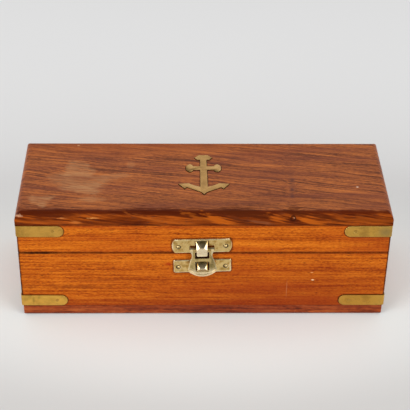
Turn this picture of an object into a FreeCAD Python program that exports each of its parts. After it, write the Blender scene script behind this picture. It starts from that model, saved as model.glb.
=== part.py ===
import FreeCAD, Part

import math
import os

from FreeCAD import Placement, Rotation, Vector

# A hinged wooden box for a small hand telescope, bound with brass at its corners.
# Millimetres. X runs to the right, Y away from the front, Z up.
# The origin is the middle of the underside.

# Walls and boards
BOX_LENGTH = 185.0         # outside of the walls, left to right
BOX_DEPTH = 67.0           # outside of the walls, front to back
BOX_HEIGHT = 63.5          # underside to the top of the lid
PARTING_HEIGHT = 40.0      # middle of the gap between base and lid
RIM_GAP = 0.3              # gap between the two rims
WALL = 7.0                 # thickness of all eight walls
TOP_BOARD = 6.6
BOTTOM_BOARD = 6.4
TOP_OVERHANG_SIDES = 0.35
TOP_OVERHANG_FRONT = 0.1
TOP_ROUND = 3.6            # round-over of the lid's top edges
BOTTOM_INSET_SIDES = 0.5
BOTTOM_INSET_FRONT = 0.2
BOTTOM_ROUND = 1.6         # round-over of the underside's edges
CORNER_ROUND = 0.6         # easing of the standing corners
RIM_ROUND = 0.35           # arris along both rims

# Brass corner straps
STRAP_HEIGHT = 6.4
STRAP_LEG = 23.2           # corner to the rounded free end
STRAP_SHEET = 0.9
STRAP_PROUD = 0.4          # how far the brass stands out of the wood
STRAP_BEND = 1.1           # outer radius at the corner
STRAP_FROM_BOARD = 0.3     # wood left between a strap and the nearest board
STRAP_FIT = 0.12           # gap round a strap in its recess
STRAP_PIN_RADIUS = 0.8
STRAP_PIN_LENGTH = 5.0
STRAP_PIN_FROM_END = 5.3

# Anchor let into the lid: half widths from its own middle line, and places along the box's depth
ANCHOR_X = 0.1
ANCHOR_SHEET = 0.8
ANCHOR_PROUD = 0.3
ANCHOR_FIT = 0.15
CROWN_TIP_Y = -16.8
ARM_FOOT = (1.5, -14.6)
NOTCH = (8.6, -10.3)
BARB = (9.8, -11.8)
FLUKE_TIP = (13.1, -7.1)
FLUKE_INNER = (7.6, -6.5)
ARM_MIDDLE = (4.9, -8.4)
ARM_ROOT_Y = -9.6
SHANK_HALF_FOOT = 2.0
SHANK_HALF_HEAD = 1.8
STOCK_LOW_Y = 5.35
STOCK_HIGH_Y = 8.95
KNOB_X = 7.05
KNOB_HALF_X = 2.05
KNOB_HALF_Y = 3.75
HEAD_LOW_Y = 14.8
HEAD_HIGH_Y = 19.5
HEAD_FOOT_HALF = 3.2
HEAD_HALF = 4.75
HEAD_CROWN_HALF = 2.4
HEAD_WIDEST_Y = 16.9

# Latch
LATCH_X = -1.0            # middle of the latch, a little left of the box's middle
LATCH_TILT = 1.8           # degrees that the latch was pinned on out of level, right side up
LATCH_SHEET = 0.8
PLATE_EDGE_ROUND = 0.45
LATCH_PLATE_LENGTH = 30.0
LATCH_PLATE_HEIGHT = 8.35
LATCH_PLATE_FOOT = 40.75
LATCH_PLATE_BULGE = 1.5    # how far its two ends bow outwards
CATCH_PLATE_LENGTH = 29.0
CATCH_PLATE_HEIGHT = 7.95
CATCH_PLATE_FOOT = 28.45
CATCH_PLATE_CORNER = 0.9
LATCH_PIN_SPACING = 23.6
LATCH_PIN_RADIUS = 0.65
LATCH_PIN_LENGTH = 5.5
LATCH_PIN_HEAD_RADIUS = 0.9
LATCH_PIN_HEAD_HEIGHT = 0.65
LATCH_PIN_DIMPLE = 0.3     # how much wider the countersink is than the head
LATCH_PIN_LOW = 0.3        # how far the pins sit below the middle of their plate
PIN_FIT = 0.05

# Tongues pressed out of the two plates
TONGUE_HALF_ROOT = 3.0
TONGUE_HALF_PAD = 2.65
TONGUE_OUT = 3.3           # pad's face in front of the wood
TONGUE_DROP = 3.0          # root to the knee
TONGUE_RIDGE_HALF = 1.15   # half width of the sloping facet at the knee
TONGUE_FACET_DROP = 1.2    # side facets run this far below the knee
TONGUE_CORNER = 0.7
TONGUE_ROOT_FROM_TOP = 0.9
HOOK_PAD = 5.0             # height of the upper tongue's pad
LANCE_GAP = 0.5            # slit beside a tongue
LANCE_BRIDGE = 1.1         # plate left below the opening behind a tongue

# Hasp, measured down from its pivot
HASP_PIVOT_HEIGHT = 43.6
HASP_BAR_RADIUS = 0.95
HASP_BAR_GAP = 0.15         # cross bar to the inside of the hook
HASP_EAR_HALF = 5.95
HASP_EAR_END = 1.3
HASP_NECK = (5.1, 4.0)
HASP_SHOULDER = (5.8, 5.7)
HASP_FLARE = (7.0, 10.2)
HASP_CORNER = (7.05, 11.1)
HASP_LENGTH = 14.85
HASP_LIP_RADIUS = 10.1     # round bottom edge, seen from the front
HASP_LIP_HALF_ANGLE = 42.5
HASP_LIP_BEND = 60.0
HASP_LIP_INSIDE = 0.3      # inner radius of the curled lip
HASP_LIP_FLAT = 0.8        # straight stretch past the curl
UPPER_WINDOW_HALF = 3.55
UPPER_WINDOW_END = 5.25
LOWER_WINDOW_HALF_TOP = 3.6
LOWER_WINDOW_HALF_END = 3.3
LOWER_WINDOW_TOP = 6.7
LOWER_WINDOW_ARCH = 0.4    # rise of its top edge over its upper corners
LOWER_WINDOW_END = 12.7
LOWER_WINDOW_CORNER = 0.7
HASP_REST_GAP = 0.25       # hasp to the catch's tongue, hanging in front of it
CATCH_CLEARANCE = 0.12     # hasp past the tip of the catch's tongue as it goes home
SLOT_GAP = 0.25            # plate's slot past the hasp's ears
SLOT_ABOVE = 1.4
SLOT_BELOW = 1.1

# Hinges at the back
HINGE_LENGTH = 20.0
HINGE_FROM_END = 30.0      # box's end to the middle of a hinge
HINGE_LEAF = 5.2           # how far a leaf reaches into the rim
HINGE_SHEET = 0.8
HINGE_BARREL_RADIUS = 1.6
HINGE_PIN_RADIUS = 0.8
HINGE_PIN_SEAT = 0.01      # pin in the base's knuckles
HINGE_PIN_RUNNING = 0.05   # pin in the lid's knuckles
HINGE_KNUCKLES = 5
HINGE_KNUCKLE_GAP = 0.15
HINGE_BARREL_GAP = 0.15    # barrel to the back of the box
HINGE_MORTISE_FIT = 0.1
HINGE_SCREW_SPACING = 12.0
SCREW_HEAD_RADIUS = 1.35
SCREW_SHANK_RADIUS = 0.7
SCREW_LENGTH = 6.0
SCREW_SLOT = 0.4
SCREW_SLOT_DEPTH = 0.35
SCREW_SUNK = 0.05
SCREW_FIT = 0.03

# Velvet linings
LINING = 0.8
LINING_BELOW_RIM = 1.0

# Cradles that hold the telescope's two ends
CRADLE_THICK = 10.0
CRADLE_SPACING = 98.0      # middle to middle
CRADLE_TOP = 31.0
CRADLE_FIT = 0.1
CRADLE_ROUND = 1.2
SEAT_AXIS_HEIGHT = 31.6
OBJECTIVE_SEAT_RADIUS = 21.0
EYEPIECE_SEAT_RADIUS = 17.0
SEAT_LINING_FIT = 0.05

# Places that follow from the sizes
HALF_LENGTH = BOX_LENGTH / 2
HALF_DEPTH = BOX_DEPTH / 2
BASE_RIM = PARTING_HEIGHT - RIM_GAP / 2
LID_RIM = PARTING_HEIGHT + RIM_GAP / 2
LID_WALL_TOP = BOX_HEIGHT - TOP_BOARD
INNER_HALF_LENGTH = HALF_LENGTH - WALL
INNER_HALF_DEPTH = HALF_DEPTH - WALL
BASE_STRAP_FOOT = BOTTOM_BOARD + STRAP_FROM_BOARD
LID_STRAP_FOOT = LID_WALL_TOP - STRAP_FROM_BOARD - STRAP_HEIGHT
CUT_PAST = 1.0             # how far a cutting shape reaches past what it cuts

PIVOT_OUT = TONGUE_OUT - LATCH_SHEET - HASP_BAR_GAP - HASP_BAR_RADIUS
HASP_REST_OUT = TONGUE_OUT + HASP_REST_GAP + LATCH_SHEET / 2
HASP_REST_LEAN = math.degrees(math.asin((HASP_REST_OUT - PIVOT_OUT) / LOWER_WINDOW_END))
HASP_HOME_OUT = TONGUE_OUT - LATCH_SHEET - LATCH_SHEET / 2 - CATCH_CLEARANCE
HASP_HOME_LEAN = math.degrees(math.asin((HASP_HOME_OUT - PIVOT_OUT) / LOWER_WINDOW_END))
CATCH_TIP_REACH = LOWER_WINDOW_END - CATCH_CLEARANCE
CATCH_TIP = HASP_PIVOT_HEIGHT - math.sqrt(CATCH_TIP_REACH**2 - (TONGUE_OUT - PIVOT_OUT) ** 2)

HINGE_AXIS_Y = HALF_DEPTH + HINGE_BARREL_RADIUS + HINGE_BARREL_GAP
HINGE_X = HALF_LENGTH - HINGE_FROM_END

X_AXIS = Vector(1, 0, 0)
Y_AXIS = Vector(0, 1, 0)
Z_AXIS = Vector(0, 0, 1)
SIDES = ("front", "back", "left", "right")
CORNERS = {
    "front_left": (-1, -1),
    "front_right": (1, -1),
    "back_left": (-1, 1),
    "back_right": (1, 1),
}


# Basic shapes


def block(x, y, z):
    """Box over three (low, high) spans."""
    low = Vector(x[0], y[0], z[0])
    return Part.makeBox(x[1] - x[0], y[1] - y[0], z[1] - z[0], low)


def rod(radius, start, end):
    """Round bar between two points."""
    along = end - start
    return Part.makeCylinder(radius, along.Length, start, along)


def filled(edges):
    """Flat face inside a closed run of edges."""
    return Part.Face(Part.Wire(edges))


def polygon(points):
    """Flat face inside a closed polygon."""
    return Part.Face(Part.makePolygon(points + points[:1]))


def line(a, b):
    return Part.LineSegment(a, b).toShape()


def arc(a, middle, b):
    return Part.Arc(a, middle, b).toShape()


def straight_run(points):
    """Straight edges from each point to the next."""
    return [line(a, b) for a, b in zip(points, points[1:])]


def span_about(middle, length):
    """(low, high) span of a length about its middle."""
    return (middle - length / 2, middle + length / 2)


def edges_at(shape, axis, place):
    """Edges whose ends both lie at one place along an axis."""
    return [e for e in shape.Edges if all(abs(v.Point.dot(axis) - place) < 1e-6 for v in e.Vertexes)]


def edges_along(shape, axis):
    """Straight edges that run along an axis."""
    found = []
    for edge in shape.Edges:
        if len(edge.Vertexes) == 2 and isinstance(edge.Curve, Part.Line):
            run = edge.Vertexes[1].Point - edge.Vertexes[0].Point
            if run.cross(axis).Length < 1e-6:
                found.append(edge)
    return found


def mirrored_to(shape, corner):
    """Moves a shape made at the front left corner to another corner by mirroring."""
    across, along = CORNERS[corner]
    if across > 0:
        shape = shape.mirror(Vector(), X_AXIS)
    if along > 0:
        shape = shape.mirror(Vector(), Y_AXIS)
    return shape


# Wooden walls and boards


def rim_ring(bottom, top, rim):
    """Hollow block of four walls, eased at its standing corners and along its rim."""
    outside = block((-HALF_LENGTH, HALF_LENGTH), (-HALF_DEPTH, HALF_DEPTH), (bottom, top))
    outside = outside.makeFillet(CORNER_ROUND, edges_along(outside, Z_AXIS))
    outside = outside.makeFillet(RIM_ROUND, edges_at(outside, Z_AXIS, rim))
    hollow = block(
        (-INNER_HALF_LENGTH, INNER_HALF_LENGTH),
        (-INNER_HALF_DEPTH, INNER_HALF_DEPTH),
        (bottom - CUT_PAST, top + CUT_PAST),
    )
    return outside.cut(hollow)


def mitre_prism(side, bottom, top):
    """Prism over one wall's mitred outline, reaching past its outside."""
    long_outside, short_outside = HALF_LENGTH + WALL, HALF_DEPTH + WALL
    if side in ("front", "back"):
        sign = -1 if side == "front" else 1
        plan = [(-long_outside, short_outside), (long_outside, short_outside)]
        plan += [(INNER_HALF_LENGTH, INNER_HALF_DEPTH), (-INNER_HALF_LENGTH, INNER_HALF_DEPTH)]
        plan = [(x, sign * y) for x, y in plan]
    else:
        sign = -1 if side == "left" else 1
        plan = [(long_outside, -short_outside), (long_outside, short_outside)]
        plan += [(INNER_HALF_LENGTH, INNER_HALF_DEPTH), (INNER_HALF_LENGTH, -INNER_HALF_DEPTH)]
        plan = [(sign * x, y) for x, y in plan]
    face = polygon([Vector(x, y, bottom) for x, y in plan])
    return face.extrude(Vector(0, 0, top - bottom))


def strap_band(foot, top, leg, outer, inner):
    """L-shaped band round the front left corner, from outer beyond the wood to inner within it."""
    radius = (top - foot) / 2
    start, end = -HALF_LENGTH - outer, -HALF_LENGTH + leg
    face_y = -HALF_DEPTH - outer
    straight = end - radius
    outline = [
        line(Vector(start, face_y, foot), Vector(straight, face_y, foot)),
        arc(
            Vector(straight, face_y, foot),
            Vector(end, face_y, foot + radius),
            Vector(straight, face_y, top),
        ),
        line(Vector(straight, face_y, top), Vector(start, face_y, top)),
        line(Vector(start, face_y, top), Vector(start, face_y, foot)),
    ]
    front_leg = filled(outline).extrude(Vector(0, outer + inner, 0))
    side_leg = front_leg.mirror(Vector(start, face_y, 0), Vector(1, -1, 0))
    return front_leg.fuse(side_leg).removeSplitter()


def strap_pins(foot, grow):
    """The two pins of the front left strap, one in each leg."""
    height = foot + STRAP_HEIGHT / 2
    face = HALF_DEPTH + STRAP_PROUD
    along = STRAP_LEG - STRAP_PIN_FROM_END
    radius = STRAP_PIN_RADIUS + grow
    length = STRAP_PIN_LENGTH + grow
    front = rod(
        radius,
        Vector(-HALF_LENGTH + along, -face, height),
        Vector(-HALF_LENGTH + along, -face + length, height),
    )
    side_x = -HALF_LENGTH - STRAP_PROUD
    side = rod(
        radius,
        Vector(side_x, -HALF_DEPTH + along, height),
        Vector(side_x + length, -HALF_DEPTH + along, height),
    )
    return [front, side]


def corner_strap(foot):
    """Brass strap of the front left corner, with its two pin holes."""
    strap = strap_band(
        foot, foot + STRAP_HEIGHT, STRAP_LEG, STRAP_PROUD, STRAP_SHEET - STRAP_PROUD
    )
    outer = Vector(-HALF_LENGTH - STRAP_PROUD, -HALF_DEPTH - STRAP_PROUD, 0)
    bend = [
        e
        for e in edges_along(strap, Z_AXIS)
        if (Vector(e.Vertexes[0].X, e.Vertexes[0].Y, 0) - outer).Length < 1e-6
    ]
    strap = strap.makeFillet(STRAP_BEND, bend)
    for pin in strap_pins(foot, PIN_FIT):
        strap = strap.cut(pin)
    return strap


def strap_recesses(foot):
    """What the straps and their pins take out of the wood at all four corners."""
    recess = strap_band(
        foot - STRAP_FIT,
        foot + STRAP_HEIGHT + STRAP_FIT,
        STRAP_LEG + STRAP_FIT,
        STRAP_PROUD + CUT_PAST,
        STRAP_SHEET - STRAP_PROUD,
    )
    tools = [recess] + strap_pins(foot, PIN_FIT)
    return [mirrored_to(tool, corner) for corner in CORNERS for tool in tools]


def walls(prefix, bottom, top, rim, tools):
    """Four mitred walls with their recesses, holes and mortises cut."""
    ring = rim_ring(bottom, top, rim)
    for tool in tools:
        ring = ring.cut(tool)
    return {
        f"{prefix}_{side}_wall": ring.common(mitre_prism(side, bottom - CUT_PAST, top + CUT_PAST))
        for side in SIDES
    }


def top_board():
    """Lid's board: its top edges rounded over, the anchor's bed cut in."""
    half_x = HALF_LENGTH + TOP_OVERHANG_SIDES
    half_y = HALF_DEPTH + TOP_OVERHANG_FRONT
    board = block((-half_x, half_x), (-half_y, half_y), (LID_WALL_TOP, BOX_HEIGHT))
    board = board.makeFillet(TOP_ROUND, edges_at(board, Z_AXIS, BOX_HEIGHT))
    bed = anchor_face(ANCHOR_FIT)
    bed.translate(Vector(0, 0, BOX_HEIGHT + ANCHOR_PROUD - ANCHOR_SHEET))
    return board.cut(bed.extrude(Vector(0, 0, ANCHOR_SHEET)))


def bottom_board():
    """Base's board, a little smaller than the walls, its lower edges rounded."""
    half_x = HALF_LENGTH - BOTTOM_INSET_SIDES
    half_y = HALF_DEPTH - BOTTOM_INSET_FRONT
    board = block((-half_x, half_x), (-half_y, half_y), (0, BOTTOM_BOARD))
    return board.makeFillet(BOTTOM_ROUND, edges_at(board, Z_AXIS, 0))


# Anchor


def anchor_face(grow):
    """Anchor's outline in plan as a flat face at height 0, grown all round."""
    edges = anchor_side(1) + anchor_side(-1)
    crown = Vector(HEAD_CROWN_HALF, HEAD_HIGH_Y, 0)
    edges.append(line(Vector(-crown.x, crown.y, 0), crown))
    face = filled(Part.__sortEdges__(edges))
    if grow:
        face = face.makeOffset2D(grow)
    face = face.copy()
    face.translate(Vector(ANCHOR_X, 0, 0))
    return face


def anchor_side(sign):
    """One side of the anchor's outline, from the tip of its crown up to its head."""

    def plan(half, y):
        return Vector(sign * half, y, 0)

    stock_half = (STOCK_HIGH_Y - STOCK_LOW_Y) / 2
    meeting = math.degrees(math.asin(stock_half / KNOB_HALF_Y))
    low, high = 180 + meeting, 180 - meeting
    corners = [(0, CROWN_TIP_Y), ARM_FOOT, NOTCH, BARB, FLUKE_TIP, FLUKE_INNER]
    edges = straight_run([plan(*corner) for corner in corners])
    arm_root = plan(SHANK_HALF_FOOT, ARM_ROOT_Y)
    edges.append(arc(plan(*FLUKE_INNER), plan(*ARM_MIDDLE), arm_root))
    shank = [arm_root, plan(shank_half(STOCK_LOW_Y), STOCK_LOW_Y), plan(*on_knob(low))]
    edges += straight_run(shank)
    for start, end in ((low, 270), (270, 360), (0, 90), (90, high)):
        middle = (start + end) / 2
        edges.append(arc(plan(*on_knob(start)), plan(*on_knob(middle)), plan(*on_knob(end))))
    head = [on_knob(high), (shank_half(STOCK_HIGH_Y), STOCK_HIGH_Y), (SHANK_HALF_HEAD, HEAD_LOW_Y)]
    head += [(HEAD_FOOT_HALF, HEAD_LOW_Y), (HEAD_HALF, HEAD_WIDEST_Y), (HEAD_CROWN_HALF, HEAD_HIGH_Y)]
    return edges + straight_run([plan(*corner) for corner in head])


def shank_half(y):
    """Half width of the anchor's shank, which narrows towards its head."""
    share = (y - ARM_ROOT_Y) / (HEAD_LOW_Y - ARM_ROOT_Y)
    return SHANK_HALF_FOOT + share * (SHANK_HALF_HEAD - SHANK_HALF_FOOT)


def on_knob(degrees):
    """(half width, place along the depth) of a point on a knob's oval."""
    turn = math.radians(degrees)
    middle_y = (STOCK_LOW_Y + STOCK_HIGH_Y) / 2
    return KNOB_X + KNOB_HALF_X * math.cos(turn), middle_y + KNOB_HALF_Y * math.sin(turn)


def anchor_inlay():
    """Brass anchor, standing a little out of the board."""
    face = anchor_face(0)
    face.translate(Vector(0, 0, BOX_HEIGHT + ANCHOR_PROUD - ANCHOR_SHEET))
    return face.extrude(Vector(0, 0, ANCHOR_SHEET))


# Latch, made level about X = 0 and then set on the front


def out(distance):
    """Y of a place a distance in front of the wood."""
    return -HALF_DEPTH - distance


def set_on_front(shape):
    """Tilts a level latch piece and moves it to the latch's place."""
    shape = shape.copy()
    shape.rotate(Vector(0, 0, PARTING_HEIGHT), Y_AXIS, -LATCH_TILT)
    shape.translate(Vector(LATCH_X, 0, 0))
    return shape


def plate_blank(length, foot, height, bulge, corner):
    """Plate with bowed or square ends, its front edges rounded."""
    half, top, y = length / 2 - bulge, foot + height, out(0)
    middle = foot + height / 2
    outline = [line(Vector(-half, y, foot), Vector(half, y, foot))]
    if bulge:
        right_tip, left_tip = Vector(length / 2, y, middle), Vector(-length / 2, y, middle)
        outline.append(arc(Vector(half, y, foot), right_tip, Vector(half, y, top)))
        outline.append(line(Vector(half, y, top), Vector(-half, y, top)))
        outline.append(arc(Vector(-half, y, top), left_tip, Vector(-half, y, foot)))
    else:
        outline.append(line(Vector(half, y, foot), Vector(half, y, top)))
        outline.append(line(Vector(half, y, top), Vector(-half, y, top)))
        outline.append(line(Vector(-half, y, top), Vector(-half, y, foot)))
    plate = filled(outline).extrude(Vector(0, -LATCH_SHEET, 0))
    if corner:
        plate = plate.makeFillet(corner, edges_along(plate, Y_AXIS))
    return plate.makeFillet(PLATE_EDGE_ROUND, edges_at(plate, Y_AXIS, out(LATCH_SHEET)))


def beyond_plane(origin, normal):
    """Large block that fills the space beyond a plane."""
    size = 4 * TONGUE_OUT
    half_space = Part.makeBox(size, size, size, Vector(-size / 2, -size / 2, 0))
    half_space.Placement = Placement(origin, Rotation(Z_AXIS, normal))
    return half_space


def tongue(root, tip):
    """Tongue pressed out of a plate: a slope, a knee and a flat pad, with a facet on each side."""
    knee = root - TONGUE_DROP
    slope = math.atan2(TONGUE_OUT - LATCH_SHEET, TONGUE_DROP)
    set_back = LATCH_SHEET * math.tan(slope / 2)
    inside = TONGUE_OUT - LATCH_SHEET
    profile = [(0, root), (LATCH_SHEET, root), (TONGUE_OUT, knee), (TONGUE_OUT, tip), (inside, tip)]
    profile += [(inside, knee - set_back), (0, root - set_back)]
    face = polygon([Vector(-TONGUE_HALF_ROOT, out(s), z) for s, z in profile])
    solid = face.extrude(Vector(2 * TONGUE_HALF_ROOT, 0, 0))
    blank = [(TONGUE_HALF_ROOT, root), (TONGUE_HALF_PAD, knee), (TONGUE_HALF_PAD, tip)]
    blank += [(-half, z) for half, z in reversed(blank)]
    blank_face = polygon([Vector(half, out(0), z) for half, z in blank])
    solid = solid.common(blank_face.extrude(Vector(0, -TONGUE_OUT, 0)))
    for sign in (-1, 1):
        root_corner = Vector(sign * TONGUE_HALF_ROOT, out(LATCH_SHEET), root)
        ridge_end = Vector(sign * TONGUE_RIDGE_HALF, out(TONGUE_OUT), knee)
        pad_side = Vector(sign * TONGUE_HALF_PAD, out(TONGUE_OUT), knee - TONGUE_FACET_DROP)
        normal = (ridge_end - root_corner).cross(pad_side - root_corner)
        if normal.y > 0:
            normal = normal.negative()
        solid = solid.cut(beyond_plane(root_corner, normal))
    return solid.makeFillet(TONGUE_CORNER, edges_at_tip(solid, tip))


def edges_at_tip(solid, tip):
    """The two edges through the sheet at a tongue's lower corners."""
    return [e for e in edges_along(solid, Y_AXIS) if abs(e.Vertexes[0].Z - tip) < 1e-6]


def pin_places(foot, height):
    """Middles of a plate's two pins, on the wood's face."""
    level = foot + height / 2 - LATCH_PIN_LOW
    return [Vector(sign * LATCH_PIN_SPACING / 2, out(0), level) for sign in (-1, 1)]


def latch_pin(place):
    """Round-headed pin through a latch plate into the wood."""
    face = LATCH_SHEET - PLATE_EDGE_ROUND / 2
    ball = (LATCH_PIN_HEAD_RADIUS**2 + LATCH_PIN_HEAD_HEIGHT**2) / (2 * LATCH_PIN_HEAD_HEIGHT)
    seat = place + Vector(0, -face, 0)
    head = Part.makeSphere(ball, seat + Vector(0, ball - LATCH_PIN_HEAD_HEIGHT, 0))
    reach = 2 * ball
    head = head.common(
        block(
            (place.x - reach, place.x + reach),
            (seat.y - reach, seat.y),
            (place.z - reach, place.z + reach),
        )
    )
    shank = rod(LATCH_PIN_RADIUS, seat, place + Vector(0, LATCH_PIN_LENGTH, 0))
    return head.fuse(shank).removeSplitter()


def pin_hole(place):
    """What a latch pin takes out of the wood and the plate: its shank's hole and a dimple for its head."""
    deep = LATCH_PIN_LENGTH + PIN_FIT
    shank = rod(LATCH_PIN_RADIUS + PIN_FIT, place + Vector(0, -TONGUE_OUT, 0), place + Vector(0, deep, 0))
    face = LATCH_SHEET - PLATE_EDGE_ROUND / 2
    wide = LATCH_PIN_HEAD_RADIUS + LATCH_PIN_DIMPLE
    dimple = Part.makeCone(
        LATCH_PIN_HEAD_RADIUS, wide, LATCH_SHEET - face, place + Vector(0, -face, 0), Vector(0, -1, 0)
    )
    return shank.fuse(dimple)


def level_latch_plate():
    """Upper plate with the hook that carries the hasp."""
    plate = plate_blank(
        LATCH_PLATE_LENGTH, LATCH_PLATE_FOOT, LATCH_PLATE_HEIGHT, LATCH_PLATE_BULGE, 0
    )
    root = LATCH_PLATE_FOOT + LATCH_PLATE_HEIGHT - TONGUE_ROOT_FROM_TOP
    half = TONGUE_HALF_ROOT + LANCE_GAP
    through = (out(LATCH_SHEET + CUT_PAST), out(0) + CUT_PAST)
    plate = plate.cut(block((-half, half), through, (LATCH_PLATE_FOOT + LANCE_BRIDGE, root)))
    slot_half = HASP_EAR_HALF + SLOT_GAP
    slot_z = (HASP_PIVOT_HEIGHT - SLOT_BELOW, HASP_PIVOT_HEIGHT + SLOT_ABOVE)
    plate = plate.cut(block((-slot_half, slot_half), through, slot_z))
    knee = root - TONGUE_DROP
    plate = plate.fuse(tongue(root, knee - HOOK_PAD)).removeSplitter()
    for place in pin_places(LATCH_PLATE_FOOT, LATCH_PLATE_HEIGHT):
        plate = plate.cut(pin_hole(place))
    return plate


def level_catch_plate():
    """Lower plate with the catch that the hasp goes over."""
    plate = plate_blank(
        CATCH_PLATE_LENGTH, CATCH_PLATE_FOOT, CATCH_PLATE_HEIGHT, 0, CATCH_PLATE_CORNER
    )
    root = CATCH_PLATE_FOOT + CATCH_PLATE_HEIGHT - TONGUE_ROOT_FROM_TOP
    half = TONGUE_HALF_ROOT + LANCE_GAP
    through = (out(LATCH_SHEET + CUT_PAST), out(0) + CUT_PAST)
    plate = plate.cut(block((-half, half), through, (CATCH_PLATE_FOOT + LANCE_BRIDGE, root)))
    plate = plate.fuse(tongue(root, CATCH_TIP)).removeSplitter()
    for place in pin_places(CATCH_PLATE_FOOT, CATCH_PLATE_HEIGHT):
        plate = plate.cut(pin_hole(place))
    return plate


def hasp_point(half, down, sign=1):
    """Point in the hasp's own plane, at the back of its sheet."""
    return Vector(sign * half, LATCH_SHEET / 2, -down)


def lip_start():
    """Radius at which the hasp's flat sheet turns into its curled lip."""
    bend = math.radians(HASP_LIP_BEND)
    outside = HASP_LIP_INSIDE + LATCH_SHEET
    return HASP_LIP_RADIUS - outside * math.sin(bend) - HASP_LIP_FLAT * math.cos(bend)


def on_lip_arc(radius, degrees):
    """(half width, distance down) on a circle about the lip's middle."""
    turn = math.radians(degrees)
    middle = HASP_LENGTH - HASP_LIP_RADIUS
    return radius * math.sin(turn), middle + radius * math.cos(turn)


def hasp_sheet():
    """Hasp's flat sheet with its two windows, its pivot at the origin."""
    start = lip_start()
    inner = on_lip_arc(start, HASP_LIP_HALF_ANGLE)
    outer = on_lip_arc(HASP_LIP_RADIUS, HASP_LIP_HALF_ANGLE)
    edges = [line(hasp_point(HASP_EAR_HALF, 0, -1), hasp_point(HASP_EAR_HALF, 0))]
    for sign in (1, -1):
        ear_end = hasp_point(HASP_EAR_HALF, HASP_EAR_END, sign)
        shoulder = hasp_point(*HASP_SHOULDER, sign)
        flare = hasp_point(*HASP_FLARE, sign)
        edges.append(line(hasp_point(HASP_EAR_HALF, 0, sign), ear_end))
        edges.append(arc(ear_end, hasp_point(*HASP_NECK, sign), shoulder))
        edges.append(line(shoulder, flare))
        edges.append(arc(flare, hasp_point(*HASP_CORNER, sign), hasp_point(*outer, sign)))
        edges.append(line(hasp_point(*outer, sign), hasp_point(*inner, sign)))
    lowest = hasp_point(*on_lip_arc(start, 0))
    edges.append(arc(hasp_point(*inner, 1), lowest, hasp_point(*inner, -1)))
    sheet = filled(Part.__sortEdges__(edges)).extrude(Vector(0, -LATCH_SHEET, 0))
    through = (-LATCH_SHEET, LATCH_SHEET)
    upper = block((-UPPER_WINDOW_HALF, UPPER_WINDOW_HALF), through, (-UPPER_WINDOW_END, 0))
    return sheet.cut(upper).cut(lower_window())


def lower_window():
    """Opening that goes over the catch: arched at its top, narrower at its end."""
    corner_down = LOWER_WINDOW_TOP + LOWER_WINDOW_ARCH
    top_right = hasp_point(LOWER_WINDOW_HALF_TOP, corner_down)
    top_left = hasp_point(LOWER_WINDOW_HALF_TOP, corner_down, -1)
    end_right = hasp_point(LOWER_WINDOW_HALF_END, LOWER_WINDOW_END)
    end_left = hasp_point(LOWER_WINDOW_HALF_END, LOWER_WINDOW_END, -1)
    face = filled(
        [
            arc(top_left, hasp_point(0, LOWER_WINDOW_TOP), top_right),
            line(top_right, end_right),
            line(end_right, end_left),
            line(end_left, top_left),
        ]
    )
    face.translate(Vector(0, CUT_PAST, 0))
    window = face.extrude(Vector(0, -LATCH_SHEET - 2 * CUT_PAST, 0))
    lower = [e for e in edges_along(window, Y_AXIS) if abs(e.Vertexes[0].Z + LOWER_WINDOW_END) < 1e-6]
    return window.makeFillet(LOWER_WINDOW_CORNER, lower)


def hasp_lip():
    """Lip curled towards the finger, carried round the hasp's bottom edge."""
    bend = math.radians(HASP_LIP_BEND)
    start = lip_start()
    curl_y = -LATCH_SHEET / 2 - HASP_LIP_INSIDE
    middle_down = HASP_LENGTH - HASP_LIP_RADIUS

    def section(radius, turn, run=0.0):
        across = start + radius * math.sin(turn) + run * math.cos(turn)
        y = curl_y + radius * math.cos(turn) - run * math.sin(turn)
        return Vector(0, y, -middle_down - across)

    inside, outside = HASP_LIP_INSIDE, HASP_LIP_INSIDE + LATCH_SHEET
    face = filled(
        [
            arc(section(outside, 0), section(outside, bend / 2), section(outside, bend)),
            line(section(outside, bend), section(outside, bend, HASP_LIP_FLAT)),
            line(section(outside, bend, HASP_LIP_FLAT), section(inside, bend, HASP_LIP_FLAT)),
            line(section(inside, bend, HASP_LIP_FLAT), section(inside, bend)),
            arc(section(inside, bend), section(inside, bend / 2), section(inside, 0)),
            line(section(inside, 0), section(outside, 0)),
        ]
    )
    centre = Vector(0, 0, -middle_down)
    face.rotate(centre, Y_AXIS, -HASP_LIP_HALF_ANGLE)
    return face.revolve(centre, Y_AXIS, 2 * HASP_LIP_HALF_ANGLE)


def level_hasp(lean):
    """Hasp hanging from its pivot, leaning a number of degrees out from the wood."""
    half_bar = Vector(HASP_EAR_HALF, 0, 0)
    bar = rod(HASP_BAR_RADIUS, half_bar.negative(), half_bar)
    hasp = hasp_sheet().fuse([hasp_lip(), bar]).removeSplitter()
    hasp.rotate(Vector(), X_AXIS, -lean)
    hasp.translate(Vector(0, out(PIVOT_OUT), HASP_PIVOT_HEIGHT))
    return hasp


# Hinges


def knuckle_spans():
    """X span of each knuckle about the hinge's middle, the first one the base's."""
    pitch = HINGE_LENGTH / HINGE_KNUCKLES
    spans = []
    for i in range(HINGE_KNUCKLES):
        low = -HINGE_LENGTH / 2 + i * pitch
        gap = HINGE_KNUCKLE_GAP / 2
        spans.append((low + gap * (i > 0), low + pitch - gap * (i < HINGE_KNUCKLES - 1)))
    return spans


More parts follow.
